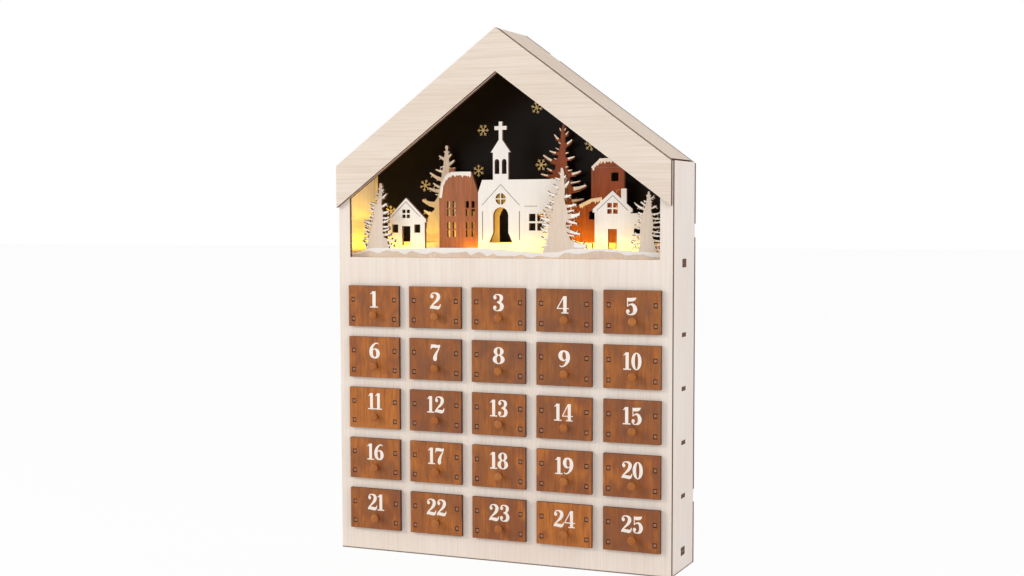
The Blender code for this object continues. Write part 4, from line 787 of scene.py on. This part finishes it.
# the front board's edge and the foot of its printed snow, read off along the stage
groundTop = [(-146.7, 256.6), (-142.9, 257), (-136.1, 258.2), (-131, 259.6), (-125.8, 261.6), (-114.1, 262),
             (-102.9, 261.8), (-86.8, 261.6), (-71.8, 262.2), (-55, 262.4), (-37.9, 262.4), (-23.4, 262.5),
             (-4.3, 261.4), (4.8, 260.7), (25.9, 259), (37.6, 258.9), (51.4, 260), (59.9, 261.9),
             (74.2, 262.4), (87.3, 262.5), (96.2, 262.1), (107.3, 261.1), (120.1, 260.3), (135.9, 259.8),
             (146.7, 259.3)]
snowFoot = [(-146.7, 255.4), (-139.8, 256), (-132.5, 257.3), (-127.4, 259.1), (-124.8, 259.4),
            (-120.7, 258.1), (-116.1, 257.4), (-111, 259.5), (-107, 259.8), (-102.4, 258.9), (-97.9, 259.2),
            (-94.4, 257.6), (-90.8, 256.7), (-87.8, 258.3), (-84.3, 259.5), (-80.3, 258.4), (-75.4, 257.3),
            (-70.9, 256.9), (-67, 258), (-62.4, 259.2), (-59, 257.8), (-52.6, 257.4), (-47.7, 258.2),
            (-40.4, 258.4), (-33.1, 259.2), (-30.2, 256.8), (-28.2, 256.4), (-25.3, 257.9), (-21.5, 258.8),
            (-18.1, 258), (-14.8, 255.7), (-12.9, 255.6), (-10.6, 257), (-8.1, 257.6), (-4.3, 255.9),
            (4.8, 256), (11.9, 255.9), (17, 257), (22.7, 255.3), (27.3, 254.8), (30.1, 255.9), (34.8, 256.2),
            (40.3, 255.4), (45.9, 254.9), (49.6, 255.2), (51.9, 256.7), (55.1, 258.7), (58.6, 259),
            (60.5, 258.6), (66.5, 257.9), (74.2, 258.9), (78.3, 260), (86, 260.7), (91.8, 260),
            (98.9, 259.7), (104.3, 258.9), (106.5, 257.4), (112.2, 257.2), (114, 258), (120.1, 257.8),
            (122.8, 258.3), (126.3, 256.7), (133.7, 255.9), (146.7, 255.4)]


def makeFirs():
    pick = random.Random(7)
    bm, printed = bmesh.new(), bmesh.new()
    reach, foot, face = scene["inner"], scene["floor"], scene["screen"]
    lift, drop = 0.01, 0.03  # keeps the board and its print off shared planes
    addSheet(bm, [smooth(groundTop, 4) + [(reach, foot), (-reach, foot)]], upright(face - lift), scene["ply"])
    band = smooth([(x, z - drop) for x, z in groundTop], 4) + smooth(snowFoot, 3)[::-1]
    addSheet(printed, [band], upright(face - 0.2), snow["thick"])
    for name in ("left_fir", "big_fir", "right_fir"):
        addFir(bm, printed, firs[name], face, pick, 1.0, 0.9, "front")
    makePiece("front_fir_board", bm, ["screen"], "casing", ("front_tree_screen",))
    makePiece("front_snow_print", printed, ["snow"], "casing")
    for name, key, slotName, coated in (("back_fir", "pale", "white_painted_plywood", 0.6),
                                        ("brown_fir", "barn", "brown_stained_plywood", 1.0)):
        bm, printed = bmesh.new(), bmesh.new()
        addFir(bm, printed, firs[name], scene["firs"], pick, 0.5, coated, "back")
        makePiece(name + "_board", bm, [key], "casing", (name,))
        makePiece(name + "_snow", printed, ["snow"], "casing")


makeFirs()
print("firs ready")

# scorched lines on the houses: front face of the board, width, lines
scorched = {
    "white_board_lines": (scene["white"], 0.45, [
        [(-108.2, 288.6), (-94.6, 301.4), (-81.0, 288.6)], [(80.0, 293.4), (93.6, 305.4), (106.5, 293.2)],
        [(-22.8, 298.1), (-5.6, 315.3), (11.5, 297.9)], [(16.0, 297.1), (27.4, 297.1)]]),
    "church_corner_lines": (scene["white"], 0.7,
                            [[(-22.3, 293.0), (-22.3, 269.0)], [(11.4, 293.0), (11.4, 269.0)]]),
    "barn_lines": (scene["barn"], 0.6, [[(69.2, 328.5), (96.4, 328.5)]])}
scorch = {"lift": 0.05, "thick": 0.06}
# snow lying along an edge: front face, depth, drip, seed of its scallops, edge
caps = [(scene["town"], 2.8, 2.4, 4, [(-66.9, 304.9), (-65.4, 315.7), (-61.2, 323.8), (-55.5, 326.7),
                                      (-46.0, 326.8), (-37.0, 326.6)]),
        (scene["barn"], 2.2, 3.0, 6, [(68.4, 329.2), (75.9, 336.2), (87.0, 336.3)]),
        (scene["barn"], 2.6, 2.2, 9, [(57.6, 298.4), (63.0, 300.8), (68.4, 303.2), (77.5, 304.4)])]
cap = {"stops": 8, "slant": 0.8, "still": 0.2}
# small boards: outline, front face, thickness, finish, slot
foot = scene["floor"] + 0.3
bankTop = [(53.8, 270.6), (58.9, 269.6), (61.7, 268.3), (66.3, 267.5), (71.3, 267.1), (75.4, 266.6)]
ledgeTop = [(-130.9, 266.4), (-104.0, 266.9), (-84.0, 266.6), (-66.0, 267.0), (-20.0, 266.7), (40.0, 267.0),
            (96.0, 266.8), (112.0, 267.1), (130.9, 266.5)]
smallBoards = {
    "town_chimney": (rectangle(-57.6, -52.7, 322.0, 329.8), scene["town"] + 0.1, 2.8, "town",
                     "brown_stained_plywood"),
    "snow_bank": (smooth(bankTop, 3) + [(75.4, foot), (53.8, foot)], scene["white"] + 0.1, 2.8, "white",
                  "white_painted_plywood"),
    # the pale strip that hides the foot of the barn's board, golden where the lamps reach it
    "back_ledge": (smooth(ledgeTop, 3) + [(130.9, foot), (-130.9, foot)], scene["barn"] - 0.2, 0.18, "pale",
                   "white_painted_plywood")}
# amber paper glued behind the church, round the rose window and down the left half of the door, and behind
# two windows of the town house
# its amber colour and glow are painted light, standing in for lamplight seen through these openings
papers = {"white": [(-15.5, 262.0), (-8.1, 262.0), (-8.1, 288.6), (-6.9, 291.6), (-4.6, 295.4), (0.5, 297.0),
                    (0.5, 311.0), (-12.5, 311.0), (-12.5, 297.0), (-14.5, 290.0)],
          "town": [(-46.5, 268.0), (-32.5, 268.0), (-32.5, 291.5), (-39.0, 294.5), (-46.5, 297.0)]}
paper = {"gap": 0.03, "thick": 0.25}


def addCap(bm, face, deep, drip, seed, line):
    # its foot hangs in scallops
    pick = random.Random(seed)
    stops = [i / cap["stops"] for i in range(cap["stops"])]
    top = [tuple(Vector(a).lerp(Vector(b), stop)) for a,
           b in zip(line, line[1:]) for stop in stops] + [line[-1]]
    low = []
    for i, (x, z) in enumerate(top):
        before, after = Vector(top[max(i - 1, 0)]), Vector(top[min(i + 1, len(top) - 1)])
        along = (after - before).normalized()
        hang = drip * pick.random() * (1 if i % 2 else cap["still"])
        low.append((x + along.y * deep * cap["slant"], z - along.x * deep - hang))
    addSheet(bm, [top + smooth(low[::-1], 3)], upright(face - scene["print"]), scene["print"])


def makeHouseDetails():
    for name, (face, wide, lines) in scorched.items():
        bm = bmesh.new()
        for line in lines:
            for a, b in zip(line, line[1:]):
                addSheet(bm, [ribbon([(*a, wide), (*b, wide)], 1)], upright(face - scorch["lift"]),
                         scorch["thick"])
        makePiece(name, bm, ["scorch"], "casing")
    bm = bmesh.new()
    for values in caps:
        addCap(bm, *values)
    makePiece("roof_snow", bm, ["snow"], "casing")
    for name, (outline, face, thick, key, slotName) in smallBoards.items():
        bm = bmesh.new()
        addSheet(bm, [outline], upright(face), thick)
        makePiece(name, bm, [key], "casing")
    bm = bmesh.new()
    for board, outline in papers.items():
        addSheet(bm, [outline], upright(scene[board] + scene["ply"] + paper["gap"]), paper["thick"])
    makePiece("amber_window_paper", bm, ["amber"], "casing")


makeHouseDetails()
print("house details ready")


# Geometry Nodes: copies of a small shape at places, turned by an attribute
def scatter(name, places, turns, shape, key):
    mesh = bpy.data.meshes.new(name)
    mesh.from_pydata([tuple(Vector(p) * mm) for p in places], [], [])
    turning = mesh.attributes.new("turn", "FLOAT_VECTOR", "POINT")
    turning.data.foreach_set("vector", [v for t in turns for v in t])
    holder = addObject(name, mesh)
    tree = bpy.data.node_groups.new(name + "_copies", "GeometryNodeTree")
    sockets = {}
    for word, way, kind in (("Geometry", "INPUT", "Geometry"), ("Shape", "INPUT", "Object"),
                            ("Finish", "INPUT", "Material"), ("Geometry", "OUTPUT", "Geometry")):
        sockets[word] = tree.interface.new_socket(word, in_out=way, socket_type="NodeSocket" + kind)
    given = addNode(tree, "NodeGroupInput").outputs
    info = addNode(tree, "GeometryNodeObjectInfo", {"Object": given["Shape"]})
    turn = addNode(tree, "GeometryNodeInputNamedAttribute", {"Name": "turn"}, data_type="FLOAT_VECTOR")
    copies = addNode(tree, "GeometryNodeInstanceOnPoints", {
        "Points": given["Geometry"], "Instance": info.outputs["Geometry"], "Rotation": turn.outputs[0]})
    real = addNode(tree, "GeometryNodeRealizeInstances", {0: copies.outputs[0]})
    coated = addNode(tree, "GeometryNodeSetMaterial",
                     {"Geometry": real.outputs[0], "Material": given["Finish"]})
    addNode(tree, "NodeGroupOutput", {0: coated.outputs[0]})
    made = holder.modifiers.new("copies", "NODES")
    made.node_group = tree
    made[sockets["Shape"].identifier] = shape
    made[sockets["Finish"].identifier] = finishes[key]
    bpy.context.view_layer.update()
    ready = holder.evaluated_get(bpy.context.evaluated_depsgraph_get())
    plain = bpy.data.meshes.new_from_object(ready)
    holder.modifiers.clear()
    holder.data = plain
    bpy.data.meshes.remove(mesh)
    bpy.data.objects.remove(shape)
    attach(holder, "casing")
    return holder


def loose(name, bm):
    bmesh.ops.recalc_face_normals(bm, faces=bm.faces)
    return addObject(name, meshFrom(name, bm))


# gold flakes printed on the black sky
flake = {"reach": 5.3, "wide": 0.7, "hub": 1.25, "hole": 0.4, "twigAt": 3.0, "twig": 1.3, "twigWide": 0.62,
         "twigTip": 0.8, "thick": 0.1, "front": -0.1, "hubFront": -0.15, "step": 0.01, "gap": 0.02,
         "turn": 0.26,
         "places": [(-38.6, 363.0), (11.5, 380.9), (-43.1, 328.3), (-94.8, 316.1), (15.6, 332.5),
                    (60.1, 348.6), (-129.3, 293.4)]}


def makeFlakes():
    bm = bmesh.new()
    half, wide, thick = flake["wide"] / 2, flake["twigWide"], flake["thick"]
    for i in range(6):
        turn = Matrix.Rotation(pi * i / 3, 2)
        outlines = [(0, [(0, -half), (flake["reach"], -half), (flake["reach"], half), (0, half)])]
        for side in (-1, 1):
            tip = (flake["twigAt"] + flake["twig"], side * flake["twig"], wide * flake["twigTip"])
            outlines.append((side + 2, ribbon([(flake["twigAt"], 0.0, wide), tip], 1)))
        for order, outline in outlines:
            # arm and twigs a hair apart, so no two faces share a plane
            addSheet(bm, [[tuple(turn @ Vector(p)) for p in outline]],
                     upright(flake["front"] - flake["step"] * order), thick)
    hub = [circle(0, 0, flake["hub"], 18), circle(0, 0, flake["hub"] * flake["hole"], 10)]
    addSheet(bm, hub, upright(flake["hubFront"]), thick)
    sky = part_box("sky_backdrop")[0][1] / mm
    places = [(x, sky - flake["gap"], z) for x, z in flake["places"]]
    turns = [(0, flake["turn"] * i, 0) for i in range(len(places))]
    scatter("gold_flakes", places, turns, loose("flake_shape", bm), "gold")


makeFlakes()

# fairy lights: thin enamelled wire with small drops along it
wire = {"radius": 0.32, "bend": 2.5, "pitch": 26.0, "low": 255.9, "side": 138.5, "first": -11.35,
        "second": -2.35, "rise": 310.3, "loop": (94.5, 99.5), "end": -117.0, "start": (-30.75, 25.75, 235.8),
        "cornerX": -35.45, "dropLong": 5.0, "dropWide": 1.6, "dropRings": 8, "dropSides": 14}
# rows of even light along the wire, and behind the brown house, as the drops' own glow is too small to reach
# the boards: left, right, near, far, height, power
glow = {"colour": "#ffd337",
        "rows": [(-138.0, -74.0, -12.35, -10.35, 258.5, 0.0111),
                 (-48.0, 138.0, -12.35, -10.35, 258.5, 0.0325),
                 (-117.0, -80.0, -3.35, -1.35, 258.5, 0.010), (-42.0, 92.0, -3.35, -1.35, 258.5, 0.038),
                 (-92.0, -68.0, 14.65, 16.65, 260.0, 0.003), (-67.0, -45.0, 14.65, 16.65, 262.0, 0.009),
                 (-139.5, -137.5, -12.0, 26.0, 258.5, 0.011), (-139.5, -137.5, -12.0, 26.0, 285.0, 0.004),
                 (94.5, 99.5, -3.35, -1.35, 294.0, 0.0016)]}


def wireRoute():
    # out of the tray, up, along the left wall, behind the front board, back, and once up and down in a loop
    w = wire
    x, y, z = w["start"]
    side, low, (near, far) = w["side"], w["low"], w["loop"]
    corners = [w["start"], (w["cornerX"], y, z), (w["cornerX"], y, low), (-side, y, low),
               (-side, w["first"], low),
               (side, w["first"], low), (side, w["second"], low), (far, w["second"], low),
               (far, w["second"], w["rise"]), (near, w["second"], w["rise"]), (near, w["second"], low),
               (w["end"], w["second"], low)]
    corners = [Vector(c) for c in corners]
    route = [corners[0]]
    for before, corner, after in zip(corners, corners[1:], corners[2:]):
        reach = min(w["bend"], (corner - before).length / 2, (after - corner).length / 2)
        a = corner + (before - corner).normalized() * reach
        b = corner + (after - corner).normalized() * reach
        route += [a.lerp(corner, t).lerp(corner.lerp(b, t), t) for t in (0.0, 0.25, 0.5, 0.75, 1.0)]
    return route + [corners[-1]]


def makeWire(route):
    curve = bpy.data.curves.new("light_wire", "CURVE")
    curve.dimensions = "3D"
    curve.bevel_depth = wire["radius"] * mm
    curve.bevel_resolution = 2
    curve.use_fill_caps = True
    spline = curve.splines.new("POLY")
    spline.points.add(len(route) - 1)
    for point, spot in zip(spline.points, route):
        point.co = (*(spot * mm), 1.0)
    holder = addObject("light_wire_curve", curve)
    bpy.context.view_layer.update()
    mesh = bpy.data.meshes.new_from_object(holder.evaluated_get(bpy.context.evaluated_depsgraph_get()))
    bpy.data.objects.remove(holder)
    mesh.name = "light_wire"
    mesh.materials.clear()
    mesh.materials.append(finishes["copper"])
    cord = addObject("light_wire", mesh)
    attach(cord, "casing")
    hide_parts("fairy_lights")


def makeDrops(route):
    places, turns = [], []
    for start, end in zip(route, route[1:]):
        count = int((end - start).length / wire["pitch"])
        places += [start.lerp(end, (i + 0.5) / count) for i in range(count)]
        turns += [tuple((end - start).to_track_quat("X", "Z").to_euler())] * count
    bm = bmesh.new()
    half, wide, rings = wire["dropLong"] / 2, wire["dropWide"], wire["dropRings"]
    profile = [(-half * cos(pi * i / rings), wide * sin(pi * i / rings)) for i in range(1, rings)]
    addLathe(bm, [(-half, 0.0)] + profile + [(half, 0.0)], Vector(), alongX, alongY, wire["dropSides"], 0)
    drops = scatter("lamp_drops", places, turns, loose("drop_shape", bm), "drop")
    drops.data.polygons.foreach_set("use_smooth", [True] * len(drops.data.polygons))


def hangRows():
    for i, (left, right, near, far, z, power) in enumerate(glow["rows"]):
        row = addLamp("lamp_row_%d" % i, power, glow["colour"], (right - left) * mm, (far - near) * mm)
        row.location = Vector(((left + right) / 2, (near + far) / 2, z)) * mm
        row.rotation_euler = (pi, 0.0, 0.0)
        row.visible_camera = False


route = wireRoute()
makeWire(route)
makeDrops(route)
hangRows()
print("lights ready")

# battery compartment: ribbed lid, ridged switch, wrapped cells, plates and coil springs
tray = {"y": 29.1, "centre": 235.8, "apart": 5.35, "ease": 0.06}
lid = {"box": (-29.3, 19.5, 225.35, 246.25), "front": 34.7, "thick": 0.95, "corner": 1.2, "frame": (0.8, 1.5),
       "rib": 0.36, "ribs": 6, "ribPitch": 2.0, "ribFrom": 5.0, "ribWide": 0.9, "ribTall": 11.0,
       "ribCorner": 0.3, "sunk": 0.05}
switch = {"box": (21.7, 28.6, 235.35, 240.25), "front": 33.7, "thick": 1.1, "corner": 0.4,
          "knob": (23.2, 27.1), "root": 1.0, "ridges": 10, "heights": (1.75, 2.2)}
# a cell's profile in three finishes: its flat end, its wrap with the band's first ring, its tip
cell = {"middle": -4.9, "long": 44.5, "sides": 36, "bandRing": 3, "weld": 1e-6,
        "end": [(0.0, 0.0), (0.0, 3.5), (0.2, 3.8), (0.25, 4.9)],
        "wrap": [(0.25, 4.9), (0.2, 5.1), (0.5, 5.24), (31.0, 5.24), (31.05, 5.24), (43.0, 5.24), (43.4, 5.1),
                 (43.35, 4.6)],
        "tip": [(43.35, 4.6), (43.45, 2.6), (43.7, 1.95), (44.3, 1.9), (44.5, 1.6), (44.5, 0.0)]}
contact = {"bridge": 19.2, "ends": -29.6, "plate": 0.3, "reach": 3.9, "corner": 1.0}
coil = {"wire": 0.22, "turns": 3.0, "wide": 3.2, "taper": 0.45, "steps": 48, "sides": 6, "bridge": -1.45,
        "ends": 2.05}


def makeLid():
    bm = bmesh.new()
    left, right, low, high = lid["box"]
    addSheet(bm, [rounded(left, right, low, high, lid["corner"])], upright(lid["front"]), lid["thick"])
    tall = lid["ribTall"] / 2
    raised = [[rounded(left + a, right - a, low + a, high - a, lid["corner"]) for a in lid["frame"]]]
    for i in range(lid["ribs"]):
        x = left + lid["ribFrom"] + i * lid["ribPitch"]
        raised.append([rounded(x, x + lid["ribWide"], tray["centre"] - tall, tray["centre"] + tall,
                               lid["ribCorner"])])
    for loops in raised:
        addSheet(bm, loops, upright(lid["front"] + lid["thick"] - lid["sunk"]), lid["rib"] + lid["sunk"])
    makePiece("battery_lid", bm, ["plastic"], "battery_cover", ("battery_cover",),
              ease=tray["ease"])


def makeSwitch():
    bm = bmesh.new()
    left, right, low, high = switch["box"]
    front, root, ridges = switch["front"], switch["front"] + switch["root"], switch["ridges"]
    addSheet(bm, [rounded(left, right, low, high, switch["corner"])], upright(front), switch["thick"])
    ridged = [(root, low), (root, high)]
    for i in range(ridges - 1, -1, -1):
        ridged.append((front + switch["heights"][i % 2], low + (high - low) * (i + 0.5) / ridges))
    start, end = switch["knob"]
    addSheet(bm, [ridged], sideways(start), end - start)
    makePiece("switch_knob", bm, ["plastic"], "switch_slider", ("switch_slider",),
              ease=tray["ease"])


def makeCells():
    for name, turn in (("cell_upper", -1), ("cell_lower", 1)):
        bm = bmesh.new()
        start = Vector((cell["middle"] - turn * cell["long"] / 2, tray["y"],
                        tray["centre"] - turn * tray["apart"]))
        for key, slot, neck in (("end", 0, None), ("wrap", 1, (cell["bandRing"], 2)), ("tip", 0, None)):
            addLathe(bm, cell[key], start, alongX * turn, alongY, cell["sides"], slot, neck)
        bmesh.ops.remove_doubles(bm, verts=bm.verts, dist=cell["weld"])
        makePiece(name + "_wrapped", bm, ["nickel", "wrap", "band"], "casing", (name,))


def addCoil(bm, start, reach):
    # a cone-shaped spring along X from start
    steps, sides = coil["steps"], coil["sides"]
    rings = []
    for i in range(steps + 1):
        share = i / steps
        turn = 2 * pi * coil["turns"] * share
        out = Vector((0, cos(turn), sin(turn)))
        spot = start + alongX * reach * share + out * coil["wide"] * (1 - coil["taper"] * share)
        rings.append([bm.verts.new((spot + (out * cos(a) + alongX * sin(a)) * coil["wire"]) * mm)
                      for a in (2 * pi * k / sides for k in range(sides))])
    for one, two in zip(rings, rings[1:]):
        for k in range(sides):
            bm.faces.new((one[k - 1], one[k], two[k], two[k - 1]))
    for ring in (rings[0], rings[-1]):
        bm.faces.new(ring)


def makeContacts():
    y, centre, apart = (tray[key] for key in ("y", "centre", "apart"))
    reach, plate = contact["reach"], contact["plate"]
    # one tall plate bridges the cells at the right; at the left two square ones take the leads
    for name, x, springX, springZ, pull, plates, replaced in (
            ("contact_bridge_spring", contact["bridge"], contact["bridge"], centre + apart, coil["bridge"],
             [(centre, apart + reach)], ("contact_bridge",)),
            ("end_contacts", contact["ends"], contact["ends"] + plate, centre - apart, coil["ends"],
             [(centre - apart, reach), (centre + apart, reach)], ())):
        bm = bmesh.new()
        for z, tall in plates:
            outline = rounded(-reach, reach, -tall, tall, contact["corner"])
            addSheet(bm, [[(y + u, z + v) for u, v in outline]], sideways(x), plate)
        addCoil(bm, Vector((springX, y, springZ)), pull)
        makePiece(name, bm, ["nickel"], "casing", replaced)


makeLid()
makeSwitch()
makeCells()
makeContacts()
print("battery compartment ready")
